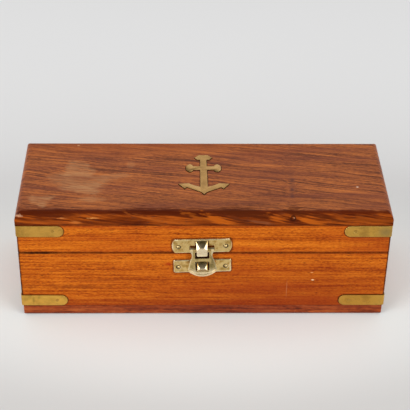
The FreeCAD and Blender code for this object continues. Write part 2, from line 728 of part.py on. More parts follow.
def hinge_leaf(on_base):
    """Leaf let into a rim, with its share of the knuckles, about X = 0."""
    z = (BASE_RIM - HINGE_SHEET, BASE_RIM) if on_base else (LID_RIM, LID_RIM + HINGE_SHEET)
    leaf = block(span_about(0, HINGE_LENGTH), (HALF_DEPTH - HINGE_LEAF, HALF_DEPTH), z)
    mine = knuckle_spans()[0 if on_base else 1 :: 2]
    for span in mine:
        tab = block(span, (HALF_DEPTH, HINGE_AXIS_Y), z)
        start = Vector(span[0], HINGE_AXIS_Y, PARTING_HEIGHT)
        end = Vector(span[1], HINGE_AXIS_Y, PARTING_HEIGHT)
        leaf = leaf.fuse([tab, rod(HINGE_BARREL_RADIUS, start, end)])
    grow = HINGE_PIN_SEAT if on_base else HINGE_PIN_RUNNING
    bore_half = HINGE_LENGTH / 2 + CUT_PAST
    bore = rod(
        HINGE_PIN_RADIUS + grow,
        Vector(-bore_half, HINGE_AXIS_Y, PARTING_HEIGHT),
        Vector(bore_half, HINGE_AXIS_Y, PARTING_HEIGHT),
    )
    leaf = leaf.removeSplitter().cut(bore)
    for place in screw_places(on_base):
        leaf = leaf.cut(screw(place, on_base, SCREW_FIT))
    return leaf


def hinge_pin():
    """Pin through all the knuckles, about X = 0."""
    half = HINGE_LENGTH / 2
    return rod(
        HINGE_PIN_RADIUS,
        Vector(-half, HINGE_AXIS_Y, PARTING_HEIGHT),
        Vector(half, HINGE_AXIS_Y, PARTING_HEIGHT),
    )


def screw_places(on_base):
    """Middles of a leaf's screw heads on its open face, about X = 0."""
    y = HALF_DEPTH - HINGE_LEAF / 2
    z = BASE_RIM if on_base else LID_RIM
    return [Vector(sign * HINGE_SCREW_SPACING / 2, y, z) for sign in (-1, 1)]


def screw(place, points_down, grow=0.0):
    """Countersunk slotted screw, or with a growth the hole that it takes."""
    into = Vector(0, 0, -1 if points_down else 1)
    top = place + into * SCREW_SUNK
    head_radius, shank_radius = SCREW_HEAD_RADIUS + grow, SCREW_SHANK_RADIUS + grow
    cone_height = head_radius - shank_radius
    head = Part.makeCone(head_radius, shank_radius, cone_height, top, into)
    shank = rod(shank_radius, top + into * cone_height, top + into * (SCREW_LENGTH + grow))
    solid = head.fuse(shank).removeSplitter()
    if grow:
        return solid.fuse(rod(head_radius, top, place - into * SCREW_SUNK))
    slot_z = sorted((top.z - into.z * SCREW_SUNK, top.z + into.z * SCREW_SLOT_DEPTH))
    slot = block(
        span_about(place.x, 4 * SCREW_HEAD_RADIUS), span_about(place.y, SCREW_SLOT), slot_z
    )
    return solid.cut(slot)


def mortises(on_base):
    """What the two leaves and their screws take out of a rim."""
    reach = HINGE_LEAF + HINGE_MORTISE_FIT
    width = HINGE_LENGTH + 2 * HINGE_MORTISE_FIT
    if on_base:
        z = (BASE_RIM - HINGE_SHEET, BASE_RIM + CUT_PAST)
    else:
        z = (LID_RIM - CUT_PAST, LID_RIM + HINGE_SHEET)
    bed = block(span_about(0, width), (HALF_DEPTH - reach, HALF_DEPTH + CUT_PAST), z)
    tools = [bed] + [screw(place, on_base, SCREW_FIT) for place in screw_places(on_base)]
    return [moved(tool, sign * HINGE_X) for sign in (-1, 1) for tool in tools]


def moved(shape, x):
    """Copy of a shape moved along X."""
    shape = shape.copy()
    shape.translate(Vector(x, 0, 0))
    return shape


# Inside


def lining(prefix, floor, rim_side):
    """Four velvet wall panels between a board's own lining and the rim."""
    z = sorted((floor, rim_side))
    long_x = (-INNER_HALF_LENGTH, INNER_HALF_LENGTH)
    short_y = (-INNER_HALF_DEPTH + LINING, INNER_HALF_DEPTH - LINING)
    return {
        f"{prefix}_front_lining": block(long_x, (-INNER_HALF_DEPTH, short_y[0]), z),
        f"{prefix}_back_lining": block(long_x, (short_y[1], INNER_HALF_DEPTH), z),
        f"{prefix}_left_lining": block((-INNER_HALF_LENGTH, -INNER_HALF_LENGTH + LINING), short_y, z),
        f"{prefix}_right_lining": block((INNER_HALF_LENGTH - LINING, INNER_HALF_LENGTH), short_y, z),
    }


def flat_lining(z):
    """Velvet panel over the whole inside of a board."""
    return block(
        (-INNER_HALF_LENGTH, INNER_HALF_LENGTH), (-INNER_HALF_DEPTH, INNER_HALF_DEPTH), z
    )


def cradle(middle_x, seat_radius):
    """Wooden block with a round seat for one end of the telescope."""
    half_y = INNER_HALF_DEPTH - LINING - CRADLE_FIT
    x = span_about(middle_x, CRADLE_THICK)
    body = block(x, (-half_y, half_y), (BOTTOM_BOARD + LINING, CRADLE_TOP))
    body = body.cut(seat_rod(x, seat_radius, CUT_PAST))
    along_top = [e for e in edges_along(body, Y_AXIS) if abs(e.Vertexes[0].Z - CRADLE_TOP) < 1e-6]
    return body.makeFillet(CRADLE_ROUND, along_top)


def seat_rod(x, radius, past):
    """Round bar along the telescope's axis over an X span."""
    return rod(
        radius,
        Vector(x[0] - past, 0, SEAT_AXIS_HEIGHT),
        Vector(x[1] + past, 0, SEAT_AXIS_HEIGHT),
    )


def seat_lining(middle_x, seat_radius):
    """Velvet strip glued round a cradle's seat."""
    x = span_about(middle_x, CRADLE_THICK - 2 * CRADLE_ROUND)
    outer = seat_radius - SEAT_LINING_FIT
    ring = seat_rod(x, outer, 0).cut(seat_rod(x, outer - LINING, CUT_PAST))
    below = block(x, (-seat_radius, seat_radius), (0, CRADLE_TOP - CRADLE_ROUND))
    return ring.common(below)


# Assembly


def base_nodes():
    """Every piece of the base."""
    tools = strap_recesses(BASE_STRAP_FOOT) + mortises(True)
    tools += [
        set_on_front(pin_hole(place)) for place in pin_places(CATCH_PLATE_FOOT, CATCH_PLATE_HEIGHT)
    ]
    nodes = {"bottom_board": bottom_board()}
    nodes.update(walls("base", BOTTOM_BOARD, BASE_RIM, BASE_RIM, tools))
    nodes["catch_plate"] = set_on_front(level_catch_plate())
    nodes["catch_plate_pins"] = Part.makeCompound(
        [
            set_on_front(latch_pin(place))
            for place in pin_places(CATCH_PLATE_FOOT, CATCH_PLATE_HEIGHT)
        ]
    )
    nodes["base_floor_lining"] = flat_lining((BOTTOM_BOARD, BOTTOM_BOARD + LINING))
    nodes.update(lining("base", BOTTOM_BOARD + LINING, BASE_RIM - LINING_BELOW_RIM))
    cradles = {"objective": (-1, OBJECTIVE_SEAT_RADIUS), "eyepiece": (1, EYEPIECE_SEAT_RADIUS)}
    for name, (sign, seat_radius) in cradles.items():
        middle_x = sign * CRADLE_SPACING / 2
        nodes[f"{name}_cradle"] = cradle(middle_x, seat_radius)
        nodes[f"{name}_seat_lining"] = seat_lining(middle_x, seat_radius)
    nodes.update(strap_nodes("base", BASE_STRAP_FOOT))
    nodes.update(hinge_nodes("base"))
    for side, sign in (("left", -1), ("right", 1)):
        nodes[f"{side}_hinge_pin"] = moved(hinge_pin(), sign * HINGE_X)
    return nodes


def lid_nodes():
    """Every piece of the lid, apart from the hasp."""
    tools = strap_recesses(LID_STRAP_FOOT) + mortises(False)
    tools += [
        set_on_front(pin_hole(place)) for place in pin_places(LATCH_PLATE_FOOT, LATCH_PLATE_HEIGHT)
    ]
    nodes = {"lid_top_board": top_board(), "anchor_inlay": anchor_inlay()}
    nodes.update(walls("lid", LID_RIM, LID_WALL_TOP, LID_RIM, tools))
    nodes["latch_plate"] = set_on_front(level_latch_plate())
    nodes["latch_plate_pins"] = Part.makeCompound(
        [
            set_on_front(latch_pin(place))
            for place in pin_places(LATCH_PLATE_FOOT, LATCH_PLATE_HEIGHT)
        ]
    )
    nodes["lid_top_lining"] = flat_lining((LID_WALL_TOP - LINING, LID_WALL_TOP))
    nodes.update(lining("lid", LID_WALL_TOP - LINING, LID_RIM + LINING_BELOW_RIM))
    nodes.update(strap_nodes("lid", LID_STRAP_FOOT))
    nodes.update(hinge_nodes("lid"))
    return nodes


def strap_nodes(prefix, foot):
    """Four corner straps and the group of pins that hold them."""
    nodes = {
        f"{prefix}_strap_{corner}": mirrored_to(corner_strap(foot), corner) for corner in CORNERS
    }
    pins = [mirrored_to(pin, corner) for corner in CORNERS for pin in strap_pins(foot, 0)]
    nodes[f"{prefix}_strap_pins"] = Part.makeCompound(pins)
    return nodes


def hinge_nodes(prefix):
    """The two leaves on one half of the box and their screws."""
    on_base = prefix == "base"
    nodes = {}
    screws = []
    for side, sign in (("left", -1), ("right", 1)):
        nodes[f"{side}_hinge_{prefix}_leaf"] = moved(hinge_leaf(on_base), sign * HINGE_X)
        for place in screw_places(on_base):
            screws.append(moved(screw(place, on_base), sign * HINGE_X))
    nodes[f"hinge_{prefix}_screws"] = Part.makeCompound(screws)
    return nodes


def in_metres(point):
    """A point's coordinates in metres, for printing."""
    return [round(value / 1000, 6) for value in point]


def print_joints():
    """Prints where the two joints turn, and how far the hasp swings to its home."""
    pivot = Part.Vertex(0, out(PIVOT_OUT), HASP_PIVOT_HEIGHT)
    pivot = set_on_front(pivot).Point
    axis = Rotation(Y_AXIS, -LATCH_TILT).multVec(X_AXIS.negative())
    print("lid hinge at", in_metres((0, HINGE_AXIS_Y, PARTING_HEIGHT)), "axis [-1, 0, 0]")
    print("hasp hinge at", in_metres(pivot), "axis", [round(value, 6) for value in axis])
    print("hasp home at", round(HASP_HOME_LEAN - HASP_REST_LEAN, 3), "degrees")


def main():
    nodes = base_nodes()
    nodes.update(lid_nodes())
    nodes["hasp"] = set_on_front(level_hasp(HASP_REST_LEAN))
    os.makedirs("parts", exist_ok=True)
    for name, shape in nodes.items():
        if not shape.isValid():
            raise ValueError(f"{name} is not a valid solid")
        shape.exportStep(f"parts/{name}.step")
    print(len(nodes), "nodes")
    print_joints()


main()
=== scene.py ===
import logging
import math
from dataclasses import dataclass, field, replace
from enum import Enum

import bmesh
import bpy
import numpy as np
from mathutils import Matrix, Vector


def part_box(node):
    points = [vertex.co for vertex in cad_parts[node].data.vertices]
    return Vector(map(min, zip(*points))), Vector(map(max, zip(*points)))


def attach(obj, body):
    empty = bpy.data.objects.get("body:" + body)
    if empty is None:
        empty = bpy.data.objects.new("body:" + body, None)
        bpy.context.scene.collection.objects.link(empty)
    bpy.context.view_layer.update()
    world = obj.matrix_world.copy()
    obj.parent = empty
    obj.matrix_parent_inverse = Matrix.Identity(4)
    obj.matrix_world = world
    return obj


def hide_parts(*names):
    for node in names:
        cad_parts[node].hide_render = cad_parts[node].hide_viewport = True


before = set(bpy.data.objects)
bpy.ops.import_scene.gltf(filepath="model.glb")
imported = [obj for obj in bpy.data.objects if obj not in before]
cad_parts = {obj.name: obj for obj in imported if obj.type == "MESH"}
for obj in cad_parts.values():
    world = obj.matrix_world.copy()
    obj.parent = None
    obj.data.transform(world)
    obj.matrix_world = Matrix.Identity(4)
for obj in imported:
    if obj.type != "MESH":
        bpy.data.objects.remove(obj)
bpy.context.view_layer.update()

# A hinged wooden box for a small hand telescope, bound with brass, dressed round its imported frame.
# Metres, with X to the right, Y away from the front and Z up. Finishes are written in millimetres and
# in eight-bit sRGB colours, and are turned into metres and linear colours as they are laid.

MM = 0.001

Colour = tuple[float, float, float]
Point = tuple[float, float, float]
Socket = bpy.types.NodeSocket
Value = float | Colour | Socket

log = logging.getLogger("telescope_box")


def linear(colour: Colour) -> tuple[float, float, float, float]:
    """Turns an eight-bit sRGB colour into a linear one with an alpha of 1.

    Args:
        colour: red, green and blue from 0 to 255.

    Returns:
        Red, green, blue and alpha from 0 to 1.
    """
    share = np.array(colour) / 255
    light = np.where(share <= 0.04045, share / 12.92, ((share + 0.055) / 1.055) ** 2.4)
    return (*light.tolist(), 1.0)


class Grain(Enum):
    """Which way the fibres of a piece of wood run."""

    ALONG_X = 0
    ALONG_Y = 1

    def sizes(self, length: float, width: float, height: float) -> Point:
        """Size of a streak along X, Y and Z, in metres, from its sizes in millimetres."""
        flat = (length, width) if self is Grain.ALONG_X else (width, length)
        return (flat[0] * MM, flat[1] * MM, height * MM)

    def across(self, amount: float) -> Point:
        """Vector of an amount, in millimetres, in both directions across the fibres."""
        spread = [amount * MM] * 3
        spread[self.value] = 0.0
        return tuple(spread)


class Graph:
    """Node graph of one material, whose patterns follow the object's own coordinates."""

    def __init__(self, name: str) -> None:
        """Starts an empty material with its Principled shader."""
        self.material = bpy.data.materials.new(name)
        self.material.use_nodes = True
        self.tree = self.material.node_tree
        self.shader = self.tree.nodes["Principled BSDF"]
        self.place: Socket = self.add("ShaderNodeTexCoord", {}).outputs["Object"]

    def add(self, kind: str, inputs: dict[str | int, Value], **settings: object) -> bpy.types.Node:
        """Adds a node.

        Args:
            kind: the node's type.
            inputs: a value or another node's socket for each named or numbered input.
            settings: the node's own settings.

        Returns:
            The new node.
        """
        node = self.tree.nodes.new(kind)
        for key, value in settings.items():
            setattr(node, key, value)
        for key, value in inputs.items():
            self.feed(node.inputs[key], value)
        return node

    def feed(self, socket: Socket, value: Value) -> None:
        """Links a socket to a socket, or sets its value."""
        if isinstance(value, Socket):
            self.tree.links.new(value, socket)
        else:
            socket.default_value = value

    def maths(self, operation: str, *values: Value, clamp: bool = False) -> Socket:
        """Result of an arithmetic node."""
        inputs = dict(enumerate(values))
        node = self.add("ShaderNodeMath", inputs, operation=operation, use_clamp=clamp)
        return node.outputs[0]

    def vector(self, operation: str, *values: Value) -> Socket:
        """Vector result of a vector arithmetic node."""
        node = self.add("ShaderNodeVectorMath", dict(enumerate(values)), operation=operation)
        return node.outputs["Value" if operation in ("LENGTH", "DOT_PRODUCT") else "Vector"]

    def laid(self, point: Socket, sizes: Point, turn: Point = (0, 0, 0), shift: Point = (0, 0, 0)) -> Socket:
        """Coordinates counted in features of a size, after a turn about the origin.

        Args:
            point: coordinates in metres.
            sizes: one feature's size along each axis, in metres.
            turn: turn about X, Y and Z in degrees.
            shift: where the pattern's origin lies, in metres.

        Returns:
            The counted coordinates.
        """
        angles = tuple(math.radians(a) for a in turn)
        inputs = {"Vector": point, "Location": shift, "Rotation": angles, "Scale": sizes}
        return self.add("ShaderNodeMapping", inputs, vector_type="TEXTURE").outputs[0]

    def noise(self, point: Socket, detail: float = 2.0, roughness: float = 0.5, colour: bool = False) -> Socket:
        """Smooth noise, with one lump for each unit of the coordinates.

        Args:
            point: coordinates counted in lumps.
            detail: octaves of finer noise on top.
            roughness: share of each octave in the next.
            colour: three separate noises as a vector, in place of one value.

        Returns:
            The noise, from 0 to 1 with its middle near a half.
        """
        inputs = {"Vector": point, "Scale": 1.0, "Detail": detail, "Roughness": roughness}
        node = self.add("ShaderNodeTexNoise", inputs)
        return node.outputs["Color" if colour else "Fac"]

    def level(self, value: Value, low: float, high: float, to_low: float = 0.0, to_high: float = 1.0) -> Socket:
        """Smooth step of a value from one level to another, with nothing past either end."""
        inputs = {0: value, 1: low, 2: high, 3: to_low, 4: to_high}
        return self.add("ShaderNodeMapRange", inputs, interpolation_type="SMOOTHSTEP").outputs[0]

    def mix(self, share: Value, under: Value, over: Value, mode: str = "MIX") -> Socket:
        """Blend of two colours.

        Args:
            share: how much of the upper colour shows, from 0 to 1.
            under: lower colour, eight-bit sRGB or a socket.
            over: upper colour, eight-bit sRGB or a socket.
            mode: how the two are blended.

        Returns:
            The blended colour.
        """
        node = self.add("ShaderNodeMix", {"Factor": share}, data_type="RGBA", blend_type=mode)
        for key, colour in (("A_Color", under), ("B_Color", over)):
            socket = next(s for s in node.inputs if s.identifier == key)
            self.feed(socket, colour if isinstance(colour, Socket) else linear(colour))
        return next(s for s in node.outputs if s.identifier == "Result_Color")

    def ramp(self, value: Value, stops: list[tuple[float, Colour]]) -> Socket:
        """Colour that changes with a value.

        Args:
            value: what picks the colour, from 0 to 1.
            stops: (value, eight-bit sRGB colour) in rising order.

        Returns:
            The picked colour.
        """
        node = self.add("ShaderNodeValToRGB", {"Fac": value})
        points = node.color_ramp.elements
        while len(points) < len(stops):
            points.new(1.0)
        for point, (at, colour) in zip(points, stops):
            point.position = at
            point.color = linear(colour)
        return node.outputs["Color"]

    def bump(self, height: Socket, depth: float) -> None:
        """Raises the shader's surface by a height from 0 to 1, of a depth in millimetres."""
        inputs = {"Height": height, "Distance": depth * MM, "Strength": 1.0}
        node = self.add("ShaderNodeBump", inputs)
        self.feed(self.shader.inputs["Normal"], node.outputs["Normal"])

    def axis(self, index: int, point: Socket | None = None) -> Socket:
        """X, Y or Z of a point, or of the object's own coordinates."""
        source = self.place if point is None else point
        return self.add("ShaderNodeSeparateXYZ", {0: source}).outputs[index]


@dataclass(frozen=True)
class PaintedMark:
    """Change of colour over part of a surface, of a full strength from 0 to 1: a mark of use, or painted light or
    shade.
    """

    colour: Colour
    strength: float

    def mask(self, graph: Graph) -> Socket:
        """How much of the mark shows at each point."""
        raise NotImplementedError

    def over(self, graph: Graph, colour: Socket) -> Socket:
        """A colour with the mark laid over it."""
        return graph.mix(self.mask(graph), colour, self.colour)


@dataclass(frozen=True)
class Spot(PaintedMark):
    """Soft ellipsoid: full at its middle, nothing at its rim, which noise makes ragged."""

    middle: Point
    reach: Point
    softness: float = 0.6
    ragged: float = 0.5
    lump: float = 3.0
    turn: float = 0.0
    stretch: float = 1.0

    def mask(self, graph: Graph) -> Socket:
        """Distance from the middle, counted in reaches, plus noise, with a smooth fall towards 1."""
        reach = tuple(r * MM for r in self.reach)
        middle = tuple(m * MM for m in self.middle)
        far = graph.vector("LENGTH", graph.laid(graph.place, reach, (0.0, self.turn, 0.0), middle))
        if self.ragged:
            sizes = (self.stretch * self.lump * MM, self.lump * MM, self.lump * MM)
            lumps = graph.noise(graph.laid(graph.place, sizes, (0.0, self.turn, 0.0)), 3.0)
            far = graph.maths("MULTIPLY_ADD", graph.maths("SUBTRACT", lumps, 0.5), 2 * self.ragged, far)
        return graph.level(far, 1.0, 1.0 - self.softness, 0.0, self.strength)


@dataclass(frozen=True)
class Patch(PaintedMark):
    """Scuff seen from above: a convex outline whose corners run clockwise, in millimetres."""

    corners: tuple[tuple[float, float], ...]
    softness: float = 1.0
    ragged: float = 1.5
    lump: float = 4.0
    above: float = 62.0

    def mask(self, graph: Graph) -> Socket:
        """Least distance inside an edge, (point - corner) dot (inward normal), plus noise, as a smooth step."""
        corners = np.array(self.corners)
        runs = np.roll(corners, -1, 0) - corners
        normals = np.stack([runs[:, 1], -runs[:, 0]], 1) / np.linalg.norm(runs, axis=1)[:, None]
        inside: Value = 1.0
        for corner, normal in zip(corners.tolist(), normals.tolist()):
            centred = graph.laid(graph.place, (MM,) * 3, shift=(corner[0] * MM, corner[1] * MM, 0.0))
            depth = graph.vector("DOT_PRODUCT", centred, (*normal, 0.0))
            inside = depth if isinstance(inside, float) else graph.maths("MINIMUM", inside, depth)
        lumps = graph.noise(graph.laid(graph.place, (self.lump * MM,) * 3), 3.0)
        inside = graph.maths("MULTIPLY_ADD", graph.maths("SUBTRACT", lumps, 0.5), 2 * self.ragged, inside)
        share = graph.level(inside, -self.softness, self.softness, 0.0, self.strength)
        worn = graph.noise(graph.laid(graph.place, (9 * MM, 0.7 * MM, 3 * MM), (0.0, 0.0, -10.0)), 3.0)
        share = graph.maths("MULTIPLY", share, graph.level(worn, 0.34, 0.62, 0.15, 1.25))
        return graph.maths("MULTIPLY", share, graph.level(graph.axis(2), (self.above - 1) * MM, self.above * MM))


@dataclass(frozen=True)
class GapShadeAndGrime(PaintedMark):
    """Dark line painted on a wall round a plate or strap whose outline is a box with rounded corners: painted shade
    of the gap at the outline, with grime along it.

    The middle and half sizes are those of the box inside the rounding, along the wall and up it.
    """

    axis: int
    middle: tuple[float, float]
    half: tuple[float, float]
    radius: float
    width: float = 0.6
    mirrored: bool = False
    turn: float = 0.0

    def beyond(self, graph: Graph) -> Socket:
        """Distance out from the outline: length of (distance from the middle - half size, never under 0) - radius."""
        along = graph.axis(self.axis)
        if self.mirrored:
            along = graph.maths("ABSOLUTE", along)
        flat = graph.add("ShaderNodeCombineXYZ", {0: along, 1: graph.axis(2)}).outputs[0]
        shift = (self.middle[0] * MM, self.middle[1] * MM, 0.0)
        centred = graph.laid(flat, (MM,) * 3, (0.0, 0.0, self.turn), shift)
        past = graph.vector("SUBTRACT", graph.vector("ABSOLUTE", centred), (*self.half, 0.0))
        outside = graph.vector("LENGTH", graph.vector("MAXIMUM", past, (0.0, 0.0, 0.0)))
        return graph.maths("SUBTRACT", outside, self.radius)

    def mask(self, graph: Graph) -> Socket:
        """Full up to the outline, with a smooth fall outside it."""
        return graph.level(self.beyond(graph), self.width, 0.15 * self.width, 0.0, self.strength)


@dataclass(frozen=True)
class RimHighlight(GapShadeAndGrime):
    """Painted highlight just inside the outline of a plate, along its rolled rim."""

    def mask(self, graph: Graph) -> Socket:
        """Full at the outline, with a smooth fall inwards, and weaker where slow noise is high."""
        near = graph.level(self.beyond(graph), -self.width, -0.4 * self.width, 0.0, self.strength)
        lumps = graph.noise(graph.laid(graph.place, (4 * MM,) * 3), 2.0)
        return graph.maths("MULTIPLY", near, graph.level(lumps, 0.4, 0.62, 1.0, 0.25))


@dataclass(frozen=True)
class FlankHighlight(PaintedMark):
    """Painted highlight along the sides of a hanging piece that widens downwards, as its distance below its pivot
    grows.
    """

    pivot: tuple[float, float]
    downs: tuple[float, float]
    halves: tuple[float, float]
    width: float = 0.7
    turn: float = 0.0

    def mask(self, graph: Graph) -> Socket:
        """Smooth fall inwards from the side: half width there less the distance from the middle."""
        flat = graph.add("ShaderNodeCombineXYZ", {0: graph.axis(0), 1: graph.axis(2)}).outputs[0]
        shift = (self.pivot[0] * MM, self.pivot[1] * MM, 0.0)
        centred = graph.laid(flat, (MM,) * 3, (0.0, 0.0, self.turn), shift)
        half = graph.level(graph.axis(1, centred), -self.downs[0], -self.downs[1], *self.halves)
        inside = graph.maths("SUBTRACT", half, graph.maths("ABSOLUTE", graph.axis(0, centred)))
        return graph.level(inside, self.width, 0.4 * self.width, 0.0, self.strength)


@dataclass(frozen=True)
class Seam(PaintedMark):
    """Dark line where two pieces meet, at one place along an axis, uneven along its length."""

    axis: int
    at: float
    reach: float
    mirrored: bool = False
    uneven: float = 0.5
    skin: tuple[int, float] | None = None

    def mask(self, graph: Graph) -> Socket:
        """Distance from the line with a smooth fall, times 1 less an uneven share of slow noise.

        With a skin, which is an axis and the box's half size along it, nothing shows deeper than 0.3 mm.
        """
        value = graph.axis(self.axis)
        if self.mirrored:
            value = graph.maths("ABSOLUTE", value)
        far = graph.maths("ABSOLUTE", graph.maths("SUBTRACT", value, self.at * MM))
        near = graph.level(far, self.reach * MM, 0.35 * self.reach * MM, 0.0, self.strength)
        lumps = graph.noise(graph.laid(graph.place, (6 * MM, 6 * MM, 6 * MM)), 2.0)
        share = graph.maths("MULTIPLY", near, graph.level(lumps, 0.35, 0.6, 1.0 - self.uneven, 1.0))
        if self.skin is None:
            return share
        axis, half = self.skin
        depth = graph.maths("ABSOLUTE", graph.axis(axis))
        return graph.maths("MULTIPLY", share, graph.level(depth, (half - 0.3) * MM, (half - 0.1) * MM))


@dataclass(frozen=True)
class Knot:
    """Pin knot that runs along Y through a board: streaks bend over it, and its end is a small dark ring."""

    x: float
    z: float
    radius: float
    bend: float
    reach: float
    colour: Colour = (50, 18, 6)


@dataclass(frozen=True)
class Layer:
    """One size of streak in the wood: its length, width and height in millimetres and its share of the tone."""

    length: float
    width: float
    share: float
    height: float = 0.0
    detail: float = 2.0


@dataclass(frozen=True)
class Wood:
    """Waxed wood: layers of streaks laid along the grain, drifts of a second hue, pores, and marks of use, some of
    them painted shade or highlight.
    """

    name: str
    dark: Colour
    middle: Colour
    light: Colour
    pore: Colour
    blush: Colour
    grain: Grain
    layers: tuple[Layer, ...]
    turn: Point = (0.0, 0.0, 0.0)
    wander: float = 1.0
    wander_length: float = 60.0
    blush_share: float = 0.4
    blush_size: tuple[float, float] = (60.0, 9.0)
    pore_share: float = 0.5
    pores: tuple[float, float] = (3.0, 0.45)
    pore_level: float = 0.62
    roughness: float = 0.42
    gloss: float = 0.3
    knot: Knot | None = None
    stains_and_painted_light: tuple[PaintedMark, ...] = ()
    seed: float = 0.0

    def streaks(self, graph: Graph, point: Socket, layer: Layer) -> Socket:
        """Noise stretched along the grain to streaks of a layer's size."""
        shift = (self.seed, -self.seed, self.seed / 2)
        sizes = self.grain.sizes(layer.length, layer.width, layer.height or layer.width)
        return graph.noise(graph.laid(point, sizes, self.turn, shift), layer.detail, 0.6)

    def bent(self, graph: Graph) -> Socket:
        """Coordinates in which the grain runs straight.

        Slow noise shifts each point across the grain, and near a knot the point is shifted down by a smooth
        step of its distance from the knot.
        """
        sizes = self.grain.sizes(self.wander_length, 14.0, 14.0)
        slow = graph.noise(graph.laid(graph.place, sizes), 1.0, colour=True)
        centred = graph.vector("SUBTRACT", slow, (0.5, 0.5, 0.5))
        shifted = graph.vector("MULTIPLY", centred, self.grain.across(3 * self.wander))
        point = graph.vector("ADD", graph.place, shifted)
        if self.knot:
            near = graph.level(self.knot_distance(graph), self.knot.reach * MM, 0.0)
            all_ways = graph.add("ShaderNodeCombineXYZ", {0: near, 1: near, 2: near}).outputs[0]
            drop = graph.vector("MULTIPLY", all_ways, (0.0, self.knot.bend * MM, self.knot.bend * MM))
            point = graph.vector("ADD", point, drop)
        return point

    def knot_distance(self, graph: Graph) -> Socket:
        """Distance of each point from the knot's own line along Y, in metres."""
        across = graph.maths("SUBTRACT", graph.axis(0), self.knot.x * MM)
        rise = graph.maths("SUBTRACT", graph.axis(2), self.knot.z * MM)
        flat = graph.add("ShaderNodeCombineXYZ", {0: across, 1: rise}).outputs[0]
        return graph.vector("LENGTH", flat)

    def knot_ring(self, graph: Graph) -> Socket:
        """Ring of the knot's radius, from 0 to 1, that fades inwards and outwards."""
        radius = self.knot.radius * MM
        far = self.knot_distance(graph)
        outer, inner = graph.level(far, 1.35 * radius, radius), graph.level(far, 0.35 * radius, 0.8 * radius)
        return graph.maths("MULTIPLY", outer, inner)

    def tone(self, graph: Graph, point: Socket) -> tuple[Socket, list[Socket]]:
        """Sum of the layers' shares of noise about their middle, and the layers themselves."""
        noises = [self.streaks(graph, point, layer) for layer in self.layers]
        tone: Value = 0.5
        for noise, layer in zip(noises, self.layers):
            tone = graph.maths("MULTIPLY_ADD", graph.maths("SUBTRACT", noise, 0.5), 3 * layer.share, tone)
        return tone, noises

    def figured(self, graph: Graph, tone: Socket) -> Socket:
        """Colour picked by the tone, with drifts of the second hue."""
        colour = graph.ramp(tone, [(0.1, self.dark), (0.5, self.middle), (0.9, self.light)])
        size = Layer(*self.blush_size, 1.0)
        drift = graph.noise(graph.laid(graph.place, self.grain.sizes(size.length, size.width, size.width)), 3.0)
        return graph.mix(graph.level(drift, 0.42, 0.66, 0.0, self.blush_share), colour, self.blush)

    def material(self) -> bpy.types.Material:
        """Builds the material."""
        graph = Graph(self.name)
        point = self.bent(graph)
        tone, noises = self.tone(graph, point)
        colour = self.figured(graph, tone)
        peaks = self.streaks(graph, point, Layer(*self.pores, 1.0, detail=1.0))
        pores = graph.level(peaks, self.pore_level, self.pore_level + 0.07)
        colour = graph.mix(graph.maths("MULTIPLY", pores, self.pore_share), colour, self.pore)
        for mark in self.stains_and_painted_light:
            colour = mark.over(graph, colour)
        if self.knot:
            colour = graph.mix(graph.maths("MULTIPLY", self.knot_ring(graph), 0.8), colour, self.knot.colour)
        graph.feed(graph.shader.inputs["Base Color"], colour)
        uneven = graph.maths("SUBTRACT", noises[1], 0.5)
        rough = graph.maths("MULTIPLY_ADD", uneven, 0.35, self.roughness, clamp=True)
        graph.feed(graph.shader.inputs["Roughness"], rough)
        graph.shader.inputs["Specular IOR Level"].default_value = self.gloss
        relief = graph.maths("MULTIPLY", graph.maths("SUBTRACT", noises[-1], pores), 0.5)
        graph.bump(relief, 0.07)
        return graph.material


@dataclass(frozen=True)
class LidWood(Wood):
    """Wood of the lid's board, whose front edge shows a flame of orange between dark slanting bands."""

    edge_dark: Colour = (76, 24, 3)
    edge_middle: Colour = (114, 46, 6)
    edge_light: Colour = (162, 76, 16)

    def figured(self, graph: Graph, tone: Socket) -> Socket:
        """Top's colour, and towards the front edge the flame's, picked by wider streaks of its own."""
        colour = super().figured(graph, tone)
        picked: Value = 0.5
        for length, height, share in ((36.0, 2.4, 1.0), (24.0, 0.9, 0.9), (9.0, 0.45, 0.7)):
            sizes = (length * MM, 9 * MM, height * MM)
            streaks = graph.noise(graph.laid(graph.place, sizes, (0.0, 7.0, 0.0), (0.02, 0.0, 0.0)), 2.0, 0.6)
            picked = graph.maths("MULTIPLY_ADD", graph.maths("SUBTRACT", streaks, 0.5), share, picked)
        stops = [(0.28, self.edge_dark), (0.5, self.edge_middle), (0.72, self.edge_light)]
        front = graph.level(graph.axis(1), -30.2 * MM, -31.8 * MM)
        return graph.mix(front, colour, graph.ramp(picked, stops))


